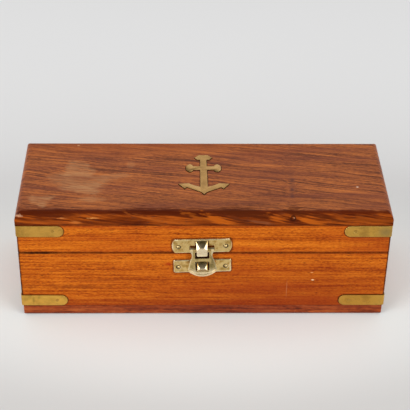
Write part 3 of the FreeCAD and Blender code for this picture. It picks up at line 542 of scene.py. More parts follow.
@dataclass(frozen=True)
class Brass:
    """Handled brass: tarnish in clouds and specks, rubbed bright where it stands out, with fine scratches."""

    name: str
    body: Colour
    tarnish: Colour
    rubbed: Colour
    roughness: float
    cloud: float = 5.0
    cloud_share: float = 0.5
    speck_share: float = 0.5
    rub: tuple[float, float] = (0.0, 1.0)
    rub_share: float = 0.0
    rub_dulls: float = 0.0
    face: float = -33.5
    scratch: float = 0.5
    stains_and_painted_light: tuple[PaintedMark, ...] = ()

    def rim(self) -> "Brass":
        """Same brass, lighter and rougher, for its rounded edges: rubbed wear, with a painted highlight."""
        return replace(
            self, name=f"{self.name}_rim", body=self.rubbed, tarnish=self.body, roughness=0.5, cloud_share=0.3
        )

    def material(self) -> bpy.types.Material:
        """Builds the material.

        Clouds are slow noise and specks are the peaks of fine noise. The rubbed share rises with the distance
        out from the wood's face.
        """
        graph = Graph(self.name)
        clouds = graph.noise(graph.laid(graph.place, (self.cloud * MM,) * 3), 4.0, 0.6)
        share = graph.level(clouds, 0.42, 0.68, 0.0, self.cloud_share)
        colour = graph.mix(share, self.body, self.tarnish)
        out = graph.maths("SUBTRACT", self.face * MM, graph.axis(1))
        rub = graph.level(out, self.rub[0] * MM, self.rub[1] * MM, 0.0, self.rub_share)
        colour = graph.mix(rub, colour, self.rubbed)
        specks = graph.noise(graph.laid(graph.place, (0.7 * MM,) * 3), 2.0)
        colour = graph.mix(graph.level(specks, 0.62, 0.74, 0.0, self.speck_share), colour, self.tarnish)
        for mark in self.stains_and_painted_light:
            colour = mark.over(graph, colour)
        graph.feed(graph.shader.inputs["Base Color"], colour)
        graph.shader.inputs["Metallic"].default_value = 1.0
        fine = graph.noise(graph.laid(graph.place, (6 * MM, 0.15 * MM, 0.15 * MM)), 2.0)
        rough = graph.maths("MULTIPLY_ADD", graph.maths("SUBTRACT", clouds, 0.5), 0.5, self.roughness)
        rough = graph.maths("MULTIPLY_ADD", rub, self.rub_dulls, rough)
        rough = graph.maths("MULTIPLY_ADD", graph.maths("SUBTRACT", fine, 0.5), 0.2, rough, clamp=True)
        graph.feed(graph.shader.inputs["Roughness"], rough)
        relief = graph.maths("MULTIPLY_ADD", fine, self.scratch, graph.maths("MULTIPLY", clouds, 0.5))
        graph.bump(relief, 0.03)
        return graph.material


@dataclass(frozen=True)
class Velvet:
    """Short-piled velvet, whose pile lies in drifts."""

    name: str
    deep: Colour
    pale: Colour
    drift: float = 9.0

    def material(self) -> bpy.types.Material:
        """Builds the material: drifts of pile are slow noise, and the pile's tips are fine noise."""
        graph = Graph(self.name)
        drifts = graph.noise(graph.laid(graph.place, (self.drift * MM,) * 3), 3.0, 0.6)
        tips = graph.noise(graph.laid(graph.place, (0.35 * MM,) * 3), 2.0, 0.7)
        colour = graph.mix(graph.level(drifts, 0.35, 0.68), self.deep, self.pale)
        colour = graph.mix(graph.level(tips, 0.4, 0.75, 0.0, 0.45), colour, self.pale)
        graph.feed(graph.shader.inputs["Base Color"], colour)
        graph.shader.inputs["Roughness"].default_value = 0.95
        graph.shader.inputs["Specular IOR Level"].default_value = 0.2
        graph.shader.inputs["Sheen Weight"].default_value = 0.55
        graph.shader.inputs["Sheen Roughness"].default_value = 0.35
        graph.shader.inputs["Sheen Tint"].default_value = linear((235, 120, 120))
        graph.bump(graph.maths("MULTIPLY_ADD", tips, 0.6, graph.maths("MULTIPLY", drifts, 0.4)), 0.25)
        return graph.material


def dress(nodes: list[str], material: bpy.types.Material) -> None:
    """Gives nodes of the frame one finish.

    Args:
        nodes: names of CAD nodes.
        material: their finish.
    """
    for name in nodes:
        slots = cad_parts[name].data.materials
        slots.clear()
        slots.append(material)
        log.info("%s: %s", name, material.name)


SIDES = ("front", "back", "left", "right")
CORNERS = ("front_left", "front_right", "back_left", "back_right")


def softened(
    node: str, body: str, slot: str, width: float, finish: bpy.types.Material, rim: bpy.types.Material
) -> bpy.types.Object:
    """Copy of a CAD node with its edges rounded, which stands for the node.

    The node's loose triangles are merged and its flat faces are joined, so that only real edges are rounded.
    Edges too blunt for a rounding stay crisp where two wide faces meet.

    Args:
        node: the CAD node.
        body: the body that it rides on.
        slot: not used.
        width: how far the rounding reaches from an edge, in millimetres.
        finish: its material.
        rim: material of the rounded edges.

    Returns:
        The rounded copy.
    """
    shape = bmesh.new()
    shape.from_mesh(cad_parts[node].data)
    bmesh.ops.remove_doubles(shape, verts=shape.verts, dist=1e-6)
    bmesh.ops.dissolve_limit(shape, angle_limit=math.radians(0.5), verts=shape.verts, edges=shape.edges)
    for edge in shape.edges:
        wide = min((face.calc_area() for face in edge.link_faces), default=0.0) > MM**2
        edge.smooth = not (wide and edge.calc_face_angle(0.0) > math.radians(18))
    mesh = bpy.data.meshes.new(f"{node}_worn")
    shape.to_mesh(mesh)
    shape.free()
    mesh.polygons.foreach_set("use_smooth", np.ones(len(mesh.polygons), bool))
    mesh.materials.clear()
    mesh.materials.append(finish)
    mesh.materials.append(rim)
    piece = bpy.data.objects.new(f"{node}_worn", mesh)
    bpy.context.scene.collection.objects.link(piece)
    bevel = piece.modifiers.new("rounded_edges", "BEVEL")
    bevel.width = width * MM
    bevel.segments = 2
    bevel.limit_method = "ANGLE"
    bevel.angle_limit = math.radians(35)
    bevel.harden_normals = True
    bevel.material = 1
    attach(piece, body)
    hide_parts(node)
    log.info("%s: %s, edges rounded by %s mm", node, finish.name, width)
    return piece


@dataclass
class Woodwork:
    """Boards, walls and cradles."""

    strap_leg: float = 23.2
    strap_height: float = 6.4
    strap_middles: dict[str, float] = field(default_factory=lambda: {"base": 9.9, "lid": 53.2})
    half_length: float = 92.5
    half_depth: float = 33.5
    latch_turn: float = 1.8

    def strap_gap_shade(self, prefix: str, grain: Grain) -> GapShadeAndGrime:
        """Painted shade in the gap round the straps on the walls whose grain runs one way."""
        end = self.half_length if grain is Grain.ALONG_X else self.half_depth
        radius = self.strap_height / 2
        return GapShadeAndGrime(
            (44, 18, 6),
            0.85,
            axis=grain.value,
            middle=(end, self.strap_middles[prefix]),
            half=(self.strap_leg - radius, 0.0),
            radius=radius,
            width=0.7,
            mirrored=True,
        )

    def plate_gap_shade_and_grime(self, node: str) -> GapShadeAndGrime:
        """Painted shade of the gap round a plate of the latch, with grime, whose outline comes from its node's box.
        """
        low, high = (np.array(corner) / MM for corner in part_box(node))
        middle, half = (low + high) / 2, (high - low) / 2
        radius = 1.2
        inner = (float(half[0]) - radius - 0.1, 4.1 - radius)
        height = float(low[2]) + 4.1 if node == "catch_plate" else float(high[2]) - 4.6
        return GapShadeAndGrime((60, 24, 8), 0.6, 0, (float(middle[0]), height), inner, radius, 0.85, turn=self.latch_turn)

    def figure(
        self, colour: Colour, strength: float, x: float, z: float, reach: tuple[float, float], turn: float = 0.0
    ) -> Spot:
        """Patch of the flame on the lid's front edge, long and slanting down to the right."""
        return Spot(colour, strength, (x, -32.4, z), (1.2 * reach[0], 7.0, 1.2 * reach[1]), 0.6, 1.1, 0.9, turn, 10.0)

    def lid_board(self) -> LidWood:
        """Dark red-brown top with slanting streaks, a knot, scuffs and a scorched front edge. The top's colours carry
        a painted sheen, the grey haze of the backdrop's reflection, which the front edge's colours don't.
        """
        pale = (186, 134, 90)
        small = ((-69.0, 14.5), (-61.4, 13.5), (-54.5, 4.0), (-58.0, 0.5), (-71.0, 1.0))
        large = ((-80.0, -1.5), (-69.0, 4.0), (-57.0, 2.0), (-45.0, -2.0), (-54.3, -16.2), (-70.0, -12.0))
        bright = ((-66.0, -7.0), (-51.0, -6.0), (-54.3, -15.9), (-71.0, -11.5))
        corner = ((-88.0, -18.0), (-74.5, -17.8), (-79.5, -27.2), (-84.5, -24.0))
        scuffs = (
            Patch(pale, 0.46, small, 1.4, 2.4),
            Patch(pale, 0.38, large, 2.5, 3.5, 6.0),
            Patch(pale, 0.45, bright, 1.2, 2.2),
            Patch(pale, 0.55, corner, 1.4, 2.2),
            Spot(pale, 0.34, (-57.0, -20.5, 63.5), (9.0, 3.4, 3.0), lump=5.0),
            Spot(pale, 0.3, (-44.0, 0.5, 63.5), (10.0, 3.0, 3.0), lump=5.0),
            Spot(pale, 0.2, (-37.2, 10.4, 63.5), (3.0, 4.0, 3.0), lump=4.0),
            Spot((246, 216, 190), 0.8, (77.5, -9.6, 63.5), (0.85, 0.5, 2.0), ragged=0.2),
            Spot((214, 164, 116), 0.6, (-65.4, 29.0, 63.5), (0.9, 0.6, 2.0), ragged=0.2),
        )
        warm = Spot((164, 80, 34), 0.45, (-30.0, 33.0, 63.5), (130.0, 22.0, 4.0), 1.0, 0.3, 14.0)
        shaded = Spot((92, 46, 30), 0.2, (10.0, -25.0, 63.5), (180.0, 14.0, 4.0), 1.0, 0.3, 10.0)
        eyes = (
            Spot((86, 54, 50), 0.6, (45.1, -3.3, 63.5), (1.8, 2.6, 2.0), 1.0, 0.4, 2.0),
            Spot((86, 54, 50), 0.75, (44.2, -11.8, 63.5), (1.6, 2.2, 2.0), 1.0, 0.4, 2.0),
            Spot((86, 54, 50), 0.65, (43.8, -17.6, 63.5), (1.6, 2.4, 2.0), 1.0, 0.4, 2.0),
            Spot((86, 54, 50), 0.3, (44.5, -8.0, 63.5), (2.6, 16.0, 2.0), 1.0, 0.4, 2.0),
        )
        edge = (
            Spot((84, 26, 4), 0.9, (0.0, -31.1, 63.7), (260.0, 2.4, 1.5), 0.6, 0.55, 9.0),
            self.figure((80, 26, 4), 0.85, -76.0, 62.8, (20.0, 1.5), 2.0),
            self.figure((76, 24, 4), 0.9, -18.0, 63.0, (34.0, 1.1), 2.0),
            self.figure((172, 88, 28), 0.5, -25.0, 60.5, (14.0, 0.6), 11.5),
            self.figure((160, 78, 16), 0.6, -4.0, 61.6, (9.0, 0.8), 14.0),
            self.figure((192, 94, 18), 0.7, 8.0, 59.8, (8.0, 1.9), 16.0),
            self.figure((94, 40, 12), 0.75, 17.5, 60.2, (8.0, 0.8), 20.0),
            self.figure((80, 30, 6), 0.85, 17.0, 63.1, (19.0, 1.2), 3.0),
            self.figure((138, 76, 42), 0.6, 27.6, 59.0, (7.0, 1.2), 8.0),
            self.figure((184, 88, 18), 0.7, 36.0, 60.9, (5.0, 1.6), 15.0),
            self.figure((188, 92, 18), 0.75, 52.0, 59.3, (8.0, 1.5), 13.0),
            self.figure((80, 30, 6), 0.85, 45.0, 63.1, (7.0, 0.9), 6.0),
            self.figure((86, 34, 8), 0.8, 61.0, 61.0, (10.0, 0.9), 12.0),
            self.figure((156, 74, 16), 0.5, 81.0, 60.4, (16.0, 1.6), 4.0),
            self.figure((176, 84, 24), 0.5, -76.0, 58.9, (14.0, 1.2), 3.0),
            self.figure((204, 116, 48), 0.6, -63.2, 58.8, (3.4, 0.9), 10.0),
            Spot((222, 146, 74), 0.75, (-54.6, -33.6, 61.2), (3.8, 1.5, 0.6), 0.9, 0.9, 1.5),
            Spot((206, 130, 70), 0.6, (-69.5, -33.6, 61.2), (3.0, 1.5, 0.5), 0.9, 0.9, 1.5),
            Seam((60, 22, 8), 0.6, 2, 57.2, 0.7),
            Spot((206, 160, 124), 0.75, (-90.9, -32.8, 62.2), (2.4, 1.6, 0.8), 0.8, 0.9, 0.9),
            # Painted highlight on the knot's end.
            Spot((214, 170, 132), 0.8, (43.9, -33.6, 61.4), (0.5, 1.0, 0.4), 0.6, 0.0),
        )
        return LidWood(
            "rosewood_lid_board",
            # These colours carry a painted sheen: the backdrop's grey reflection is laid into them, so the gloss is
            # kept low.
            dark=(96, 54, 38),
            middle=(154, 86, 50),
            light=(196, 114, 58),
            pore=(72, 42, 32),
            blush=(122, 65, 50),
            grain=Grain.ALONG_X,
            layers=(
                Layer(110.0, 3.4, 0.26, 6.0, 3.0),
                Layer(75.0, 0.85, 0.54, 3.0, 3.0),
                Layer(30.0, 0.42, 0.6, 1.2, 2.0),
                Layer(2.0, 0.5, 0.28, 0.6, 1.0),
                Layer(12.0, 8.0, 0.12, 8.0, 2.0),
            ),
            turn=(0.0, 2.0, -10.0),
            wander=1.8,
            blush_share=0.5,
            blush_size=(70.0, 7.0),
            pore_share=0.45,
            pores=(5.0, 0.5),
            roughness=0.34,
            gloss=0.05,
            knot=Knot(43.4, 61.0, 1.25, 1.5, 5.0),
            stains_and_painted_light=(warm, shaded, *eyes, *edge, *scuffs),
            seed=0.3,
        )

    def wall(self, prefix: str, side: str, stains_and_painted_light: tuple[PaintedMark, ...], seed: float) -> Wood:
        """Orange-brown front, back or end wall with fine straight grain and short dark pores."""
        grain = Grain.ALONG_Y if side == "end" else Grain.ALONG_X
        along_x = grain is Grain.ALONG_X
        end, depth = (self.half_length, self.half_depth) if along_x else (self.half_depth, self.half_length)
        seams = (
            Seam((50, 18, 6), 0.92, 2, 40.15, 0.95, uneven=0.3, skin=(1 - grain.value, depth)),
            Seam((44, 16, 6), 0.9, grain.value, end, 1.15, mirrored=True, uneven=0.3),
            self.strap_gap_shade(prefix, grain),
        )
        return Wood(
            f"rosewood_{prefix}_{side}_wall",
            dark=(124, 44, 4),
            middle=(186, 91, 15),
            light=(216, 120, 28),
            pore=(88, 32, 6),
            blush=(166, 66, 16),
            grain=grain,
            layers=(
                Layer(190.0, 3.2, 0.36, detail=3.0),
                Layer(60.0, 0.9, 0.36, detail=3.0),
                Layer(15.0, 0.5, 0.34, detail=2.0),
                Layer(1.6, 0.5, 0.32, detail=1.0),
                Layer(11.0, 5.0, 0.1, detail=2.0),
            ),
            wander=0.25,
            wander_length=120.0,
            blush_share=0.4,
            blush_size=(90.0, 6.0),
            pore_share=0.7,
            pores=(2.4, 0.42),
            pore_level=0.64,
            roughness=0.5,
            gloss=0.06,
            stains_and_painted_light=stains_and_painted_light + seams,
            seed=seed,
        )

    def build(self) -> None:
        """Finishes every wooden node."""
        red, front = (134, 46, 14), -33.5
        reddened = (
            Spot(red, 0.65, (0.0, front, 3.0), (260.0, 60.0, 14.0), 1.0, 0.3, 12.0),
            Spot(red, 0.46, (50.0, front, 12.0), (100.0, 80.0, 32.0), 1.0, 0.2, 20.0),
            Spot(red, 0.14, (0.0, 0.0, 10.0), (260.0, 200.0, 60.0), 1.0, 0.0),
        )
        # Painted shadow on the wood behind the hasp, where its sheet keeps out the light.
        shadow_behind_hasp = Spot((34, 14, 6), 0.96, (-0.9, front, 36.6), (5.2, 0.6, 10.0), 0.3, 0.1, 2.0)
        base_front = (
            Spot((108, 40, 8), 0.55, (-66.0, front, 18.5), (40.0, 2.0, 2.2), 1.0, 0.7, 5.0),
            Spot((120, 46, 10), 0.4, (-50.0, front, 22.5), (30.0, 2.0, 1.5), 1.0, 0.7, 5.0),
            Spot((150, 34, 8), 0.7, (-18.0, front, 33.1), (3.0, 1.0, 1.4), 1.0, 0.7, 2.0),
            Spot((30, 8, 2), 0.95, (-82.0, front, 40.0), (13.0, 0.8, 0.9), 0.6, 0.4, 3.0),
            Spot((252, 210, 160), 0.95, (55.2, front, 22.8), (1.0, 1.0, 0.45), 0.6, 0.2, 1.0),
            Spot((240, 180, 116), 0.7, (54.6, front, 27.6), (1.0, 1.0, 0.3), 0.6, 0.2, 1.0),
            Spot((206, 150, 104), 0.26, (42.3, front, 17.0), (0.3, 1.0, 8.0), 0.8, 0.0),
            self.plate_gap_shade_and_grime("catch_plate"),
            shadow_behind_hasp,
        )
        lid_front = (
            Spot((30, 8, 2), 0.95, (-82.0, front, 40.3), (13.0, 0.8, 0.9), 0.6, 0.4, 3.0),
            # Dark joint under the board, with the painted shadow of the board's overhang.
            Seam((96, 36, 10), 0.5, 2, 57.2, 1.2),
            self.plate_gap_shade_and_grime("latch_plate"),
            shadow_behind_hasp,
        )
        dress(["lid_top_board"], self.lid_board().material())
        lid_end = (Spot(red, 0.25, (98.0, front, 48.0), (50.0, 80.0, 30.0), 1.0, 0.2, 20.0),)
        for prefix, drift, marks, seed in (("base", reddened, base_front, 0.1), ("lid", lid_end, lid_front, 0.7)):
            front_wall = self.wall(prefix, "front", drift + marks, seed)
            dress([f"{prefix}_front_wall"], front_wall.material())
            back_wall = self.wall(prefix, "back", drift, seed + 0.4)
            dress([f"{prefix}_back_wall"], back_wall.material())
            end_walls = self.wall(prefix, "end", reddened[:1], seed + 0.2)
            dress([f"{prefix}_left_wall", f"{prefix}_right_wall"], end_walls.material())
        dress(["bottom_board"], self.base_board().material())
        dress(["objective_cradle", "eyepiece_cradle"], self.cradle().material())

    def base_board(self) -> Wood:
        """Red-brown bottom board with dark streaks."""
        return Wood(
            "rosewood_bottom_board",
            dark=(84, 32, 16),
            middle=(138, 58, 24),
            light=(170, 86, 40),
            pore=(60, 22, 10),
            blush=(112, 44, 28),
            grain=Grain.ALONG_X,
            layers=(Layer(60.0, 3.0, 0.4), Layer(20.0, 1.2, 0.4), Layer(3.4, 0.7, 0.36)),
            roughness=0.5,
            gloss=0.1,
            # Dark joint at the top of the board, and painted shade along its bottom edge, where it stands on the
            # floor.
            stains_and_painted_light=(Seam((48, 18, 8), 0.8, 2, 6.4, 0.6), Seam((48, 18, 8), 0.8, 2, 0.0, 1.0)),
            seed=1.3,
        )

    def cradle(self) -> Wood:
        """Plain unwaxed wood of the cradles."""
        return Wood(
            "bare_cradle_wood",
            dark=(140, 82, 44),
            middle=(178, 116, 68),
            light=(204, 146, 96),
            pore=(110, 60, 32),
            blush=(160, 98, 56),
            grain=Grain.ALONG_Y,
            layers=(Layer(60.0, 4.0, 0.35), Layer(20.0, 1.2, 0.35), Layer(3.4, 0.6, 0.3)),
            roughness=0.65,
            gloss=0.25,
            seed=2.1,
        )


@dataclass
class Brasswork:
    """Straps, anchor, latch and hinges."""

    strap_edge: float = 0.28
    anchor_edge: float = 0.2
    latch_edge: float = 0.38
    pin_spacing: float = 23.6
    latch_x: float = -1.0
    latch_turn: float = 1.8

    def pin_rings(self, height: float) -> tuple[Spot, ...]:
        """Dark rings round the two pins of a plate whose middle is at a height."""
        lean = math.radians(self.latch_turn)
        rings = []
        for side in (-1, 1):
            x = self.latch_x + side * self.pin_spacing / 2 * math.cos(lean)
            z = height + side * self.pin_spacing / 2 * math.sin(lean)
            rings.append(Spot((40, 26, 10), 0.9, (x, -34.0, z), (1.55, 3.0, 1.55), 0.35, 0.0))
        return tuple(rings)

    def latch(self, name: str, height: float) -> Brass:
        """Paler brass of a latch plate and its pressed tongue, with a painted highlight along the plate's rim,
        painted shade round the tongue and a painted dark reflection on the tongue's sloping face.
        """
        shade = Spot((52, 36, 14), 0.9, (self.latch_x, -33.4, height - 1.0), (4.9, 1.1, 5.2), 0.3, 0.12, 2.0)
        half_length, half_height = (15.0, 4.17) if height > 40 else (14.5, 3.97)
        inner = (half_length - 1.2, half_height - 1.2)
        # Painted highlight along the plate's rolled rim.
        rim = RimHighlight((255, 238, 194), 0.75, 0, (self.latch_x, height), inner, 1.2, 0.95, turn=self.latch_turn)
        # Painted dark reflection on the tongue's sloping face.
        painted_slope_reflection = Spot((104, 84, 36), 0.7, (self.latch_x, -36.0, height + 2.2), (2.3, 3.0, 2.6), 0.5, 0.15, 1.0)
        return Brass(
            name,
            body=(222, 192, 126),
            tarnish=(164, 122, 44),
            rubbed=(255, 238, 204),
            roughness=0.27,
            cloud=3.0,
            cloud_share=0.8,
            rub=(1.2, 2.6),
            rub_share=0.8,
            rub_dulls=0.08,
            stains_and_painted_light=(rim, shade, painted_slope_reflection, *self.pin_rings(height - 0.3)),
        )

    def build(self) -> None:
        """Finishes every brass node."""
        strap_marks_and_highlights = (
            Spot((120, 92, 36), 0.7, (-86.6, -34.0, 10.0), (0.8, 2.0, 3.0), 0.8, 0.5, 1.5),
            Spot((136, 104, 44), 0.6, (-83.8, -34.0, 11.6), (0.7, 2.0, 1.5), 0.8, 0.5, 1.5),
            Spot((142, 126, 84), 0.6, (90.0, -34.0, 53.0), (7.0, 8.0, 5.0), 1.0, 0.4, 4.0),
            # Painted highlight on the left base strap.
            Spot((246, 194, 84), 0.4, (-79.0, -34.0, 10.0), (17.0, 3.0, 6.0), 0.7, 0.3, 5.0),
            Spot((178, 122, 36), 0.35, (80.0, -34.0, 10.0), (18.0, 3.0, 6.0), 0.7, 0.3, 5.0),
            # Painted highlight on the left lid strap.
            Spot((232, 176, 84), 0.4, (-79.0, -34.0, 53.0), (17.0, 3.0, 6.0), 0.7, 0.3, 5.0),
        )
        straps = Brass(
            "strap_brass", (214, 166, 76), (146, 108, 48), (232, 194, 106), 0.4, cloud_share=0.5, stains_and_painted_light=strap_marks_and_highlights
        )
        pins = Brass("pin_brass", (198, 152, 70), (126, 92, 40), (214, 178, 96), 0.4).material()
        anchor = Brass(
            "anchor_brass", (250, 196, 120), (194, 144, 84), (250, 206, 136), 0.3, cloud_share=0.3, speck_share=0.3,
            # Painted shade at the foot of the anchor's sides, where they stand out of the board.
            stains_and_painted_light=(Seam((58, 32, 14), 0.95, 2, 63.5, 0.32, uneven=0.2),),
        )
        finishes = straps.material(), straps.rim().material()
        for prefix in ("base", "lid"):
            for corner in CORNERS:
                softened(f"{prefix}_strap_{corner}", prefix, "strap_brass", self.strap_edge, *finishes)
        dress(["base_strap_pins", "lid_strap_pins"], pins)
        # Darker edges: tarnish, with painted shade along the anchor's outline.
        edge = replace(anchor, name="anchor_brass_rim", body=(150, 104, 54), tarnish=(96, 62, 28), cloud_share=0.8)
        finishes = anchor.material(), edge.material()
        softened("anchor_inlay", "lid", "anchor_brass", self.anchor_edge, *finishes)
        for node, body, height in (("latch_plate", "lid", 44.9), ("catch_plate", "base", 32.4)):
            plate = self.latch(f"{node}_brass", height)
            finishes = plate.material(), plate.rim().material()
            softened(node, body, "latch_brass", self.latch_edge, *finishes)
        hasp = Brass(
            "hasp_brass",
            body=(212, 184, 122),
            tarnish=(140, 122, 68),
            rubbed=(255, 236, 196),
            roughness=0.3,
            cloud=2.6,
            cloud_share=0.7,
            rub=(3.7, 4.5),
            rub_share=0.85,
            rub_dulls=0.3,
            # Painted highlight along the hasp's sides.
            stains_and_painted_light=(FlankHighlight((255, 234, 186), 0.8, (-1.11, 43.6), (2.1, 10.6), (5.1, 7.05), 0.75, self.latch_turn),),
        )
        softened("hasp", "hasp", "latch_brass", self.latch_edge, hasp.material(), hasp.rim().material())
        heads = Brass("latch_pin_brass", (236, 208, 146), (150, 116, 60), (250, 234, 200), 0.2, cloud_share=0.3)
        dress(["latch_plate_pins", "catch_plate_pins"], heads.material())
        hinge = Brass("hinge_brass", (190, 148, 72), (124, 88, 40), (214, 178, 96), 0.36)
        hinges = [f"{s}_hinge_{p}" for s in ("left", "right") for p in ("base_leaf", "lid_leaf", "pin")]
        dress(hinges + ["hinge_base_screws", "hinge_lid_screws"], hinge.material())


def closed_slab(front: np.ndarray, back: np.ndarray, name: str) -> bpy.types.Object:
    """Makes a closed mesh from two grids of points that face each other.

    The two grids are joined by quads round their borders, whose order runs once round each grid.

    Args:
        front: rows by columns by 3 points of the outer surface.
        back: the same number of points behind it.
        name: the object's name.

    Returns:
        The new object, at the origin with its place in its mesh.
    """
    rows, columns = front.shape[:2]
    index = np.arange(rows * columns).reshape(rows, columns)
    quads = np.stack([index[:-1, :-1], index[1:, :-1], index[1:, 1:], index[:-1, 1:]], -1).reshape(-1, 4)
    count = rows * columns
    loop = np.concatenate([index[0, :-1], index[:-1, -1], index[-1, :0:-1], index[:0:-1, 0]])
    after = np.roll(loop, -1)
    sides = np.stack([loop, after, after + count, loop + count], -1)
    faces = np.concatenate([quads, quads[:, ::-1] + count, sides])
    points = np.concatenate([front.reshape(-1, 3), back.reshape(-1, 3)])
    mesh = bpy.data.meshes.new(name)
    mesh.from_pydata(points.tolist(), [], faces.tolist())
    centre = points.mean(0)
    face_points = points[faces]
    normals = np.cross(face_points[:, 1] - face_points[:, 0], face_points[:, 2] - face_points[:, 1])
    if ((face_points.mean(1) - centre) * normals).sum() < 0:
        mesh.flip_normals()
    mesh.shade_smooth()
    piece = bpy.data.objects.new(name, mesh)
    bpy.context.scene.collection.objects.link(piece)
    return piece


@dataclass
class Lining:
    """Velvet over thin card, glued inside the box, with its edges turned over."""

    step: float = 1.0
    turned_edge: float = 1.1
    edge_share: float = 0.35
    ripple: float = 0.05

    def loft(self, across: np.ndarray, along: np.ndarray) -> np.ndarray:
        """Height of the pile over the card as a share of the full thickness.

        It rises from the turned edge by 1 less a bell curve of the distance from the nearest edge, and slow
        crossed sines ripple it.

        Args:
            across: places across the panel in millimetres, as a column.
            along: places along the panel in millimetres, as a row.

        Returns:
            Shares from 0 to 1 over the grid.
        """
        to_side = np.minimum(across - across.min(), across.max() - across)
        to_end = np.minimum(along - along.min(), along.max() - along)
        near = np.minimum(to_side, to_end)
        rise = 1 - np.exp(-((near / self.turned_edge) ** 2))
        waves = np.sin(across / 3.1 + 0.7 * np.sin(along / 7.3)) * np.sin(along / 4.7 + 0.5)
        share = self.edge_share + (1 - self.edge_share - self.ripple) * rise + self.ripple * waves * rise
        return np.clip(share, 0.0, 1.0)

    def counts(self, length: float) -> int:
        """Number of grid lines over a length in millimetres."""
        return max(4, round(length / self.step)) + 1

    def panel(self, node: str, body: str, finish: bpy.types.Material) -> None:
        """Flat panel in the place of a node, crowned towards the inside of the box.

        Args:
            node: the CAD node that it stands for.
            body: the body that it rides on.
            finish: its velvet.
        """
        low, high = (np.array(corner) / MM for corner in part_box(node))
        size = high - low
        thin = int(size.argmin())
        wide = [i for i in range(3) if i != thin]
        middle_of_body = 25.0 if body == "base" else 46.0
        inside = np.array([0.0, 0.0, middle_of_body])
        faces_up = inside[thin] > (low[thin] + high[thin]) / 2
        spans = [np.linspace(low[i], high[i], self.counts(size[i])) for i in wide]
        across, along = np.meshgrid(*spans, indexing="ij")
        share = self.loft(across, along)
        front, back = (np.zeros((*across.shape, 3)) for _ in range(2))
        for grid in (front, back):
            grid[..., wide[0]] = across
            grid[..., wide[1]] = along
        start = low[thin] if faces_up else high[thin]
        front[..., thin] = start + share * size[thin] * (1 if faces_up else -1)
        back[..., thin] = start
        self.finish(closed_slab(front * MM, back * MM, f"{node}_velvet"), node, body, finish)

    def seat(self, node: str, body: str, finish: bpy.types.Material) -> None:
        """Strip round a cradle's seat, in the place of a node.

        The seat's circle goes through the strip's lowest point and its two upper ends: its middle's height is
        (half width squared + top squared - bottom squared) / (2 (top - bottom)).
        """
        low, high = (np.array(corner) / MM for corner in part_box(node))
        half = (high[1] - low[1]) / 2
        height = (half**2 + high[2] ** 2 - low[2] ** 2) / (2 * (high[2] - low[2]))
        outer = height - low[2]
        thick = 0.8
        reach = math.asin(half / outer)
        turns = np.linspace(-reach, reach, self.counts(2 * reach * outer))
        places = np.linspace(low[0], high[0], 2 * self.counts(high[0] - low[0]))
        turn, place = np.meshgrid(turns, places, indexing="ij")
        share = self.loft(turn * outer, place)
        front, back = (self.on_circle(place, turn, r, height) for r in (outer - share * thick, outer))
        self.finish(closed_slab(front * MM, back * MM, f"{node}_velvet"), node, body, finish)

    def on_circle(self, place: np.ndarray, turn: np.ndarray, radius: np.ndarray | float, height: float) -> np.ndarray:
        """Points at an angle from straight down about a line along X at a height."""
        return np.stack([place, radius * np.sin(turn), height - radius * np.cos(turn)], -1)

    def finish(self, piece: bpy.types.Object, node: str, body: str, velvet: bpy.types.Material) -> None:
        """Dresses a panel and has it stand for its node."""
        piece.data.materials.append(velvet)
        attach(piece, body)
        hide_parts(node)
        log.info("%s: %s faces", piece.name, len(piece.data.polygons))

    def build(self) -> None:
        """Makes every panel and both seat strips."""
        velvet = Velvet("wine_velvet", (72, 8, 17), (114, 17, 29)).material()
        for body in ("base", "lid"):
            flat = "base_floor_lining" if body == "base" else "lid_top_lining"
            for node in [flat] + [f"{body}_{side}_lining" for side in SIDES]:
                self.panel(node, body, velvet)
        for node in ("objective_seat_lining", "eyepiece_seat_lining"):
            self.seat(node, "base", velvet)


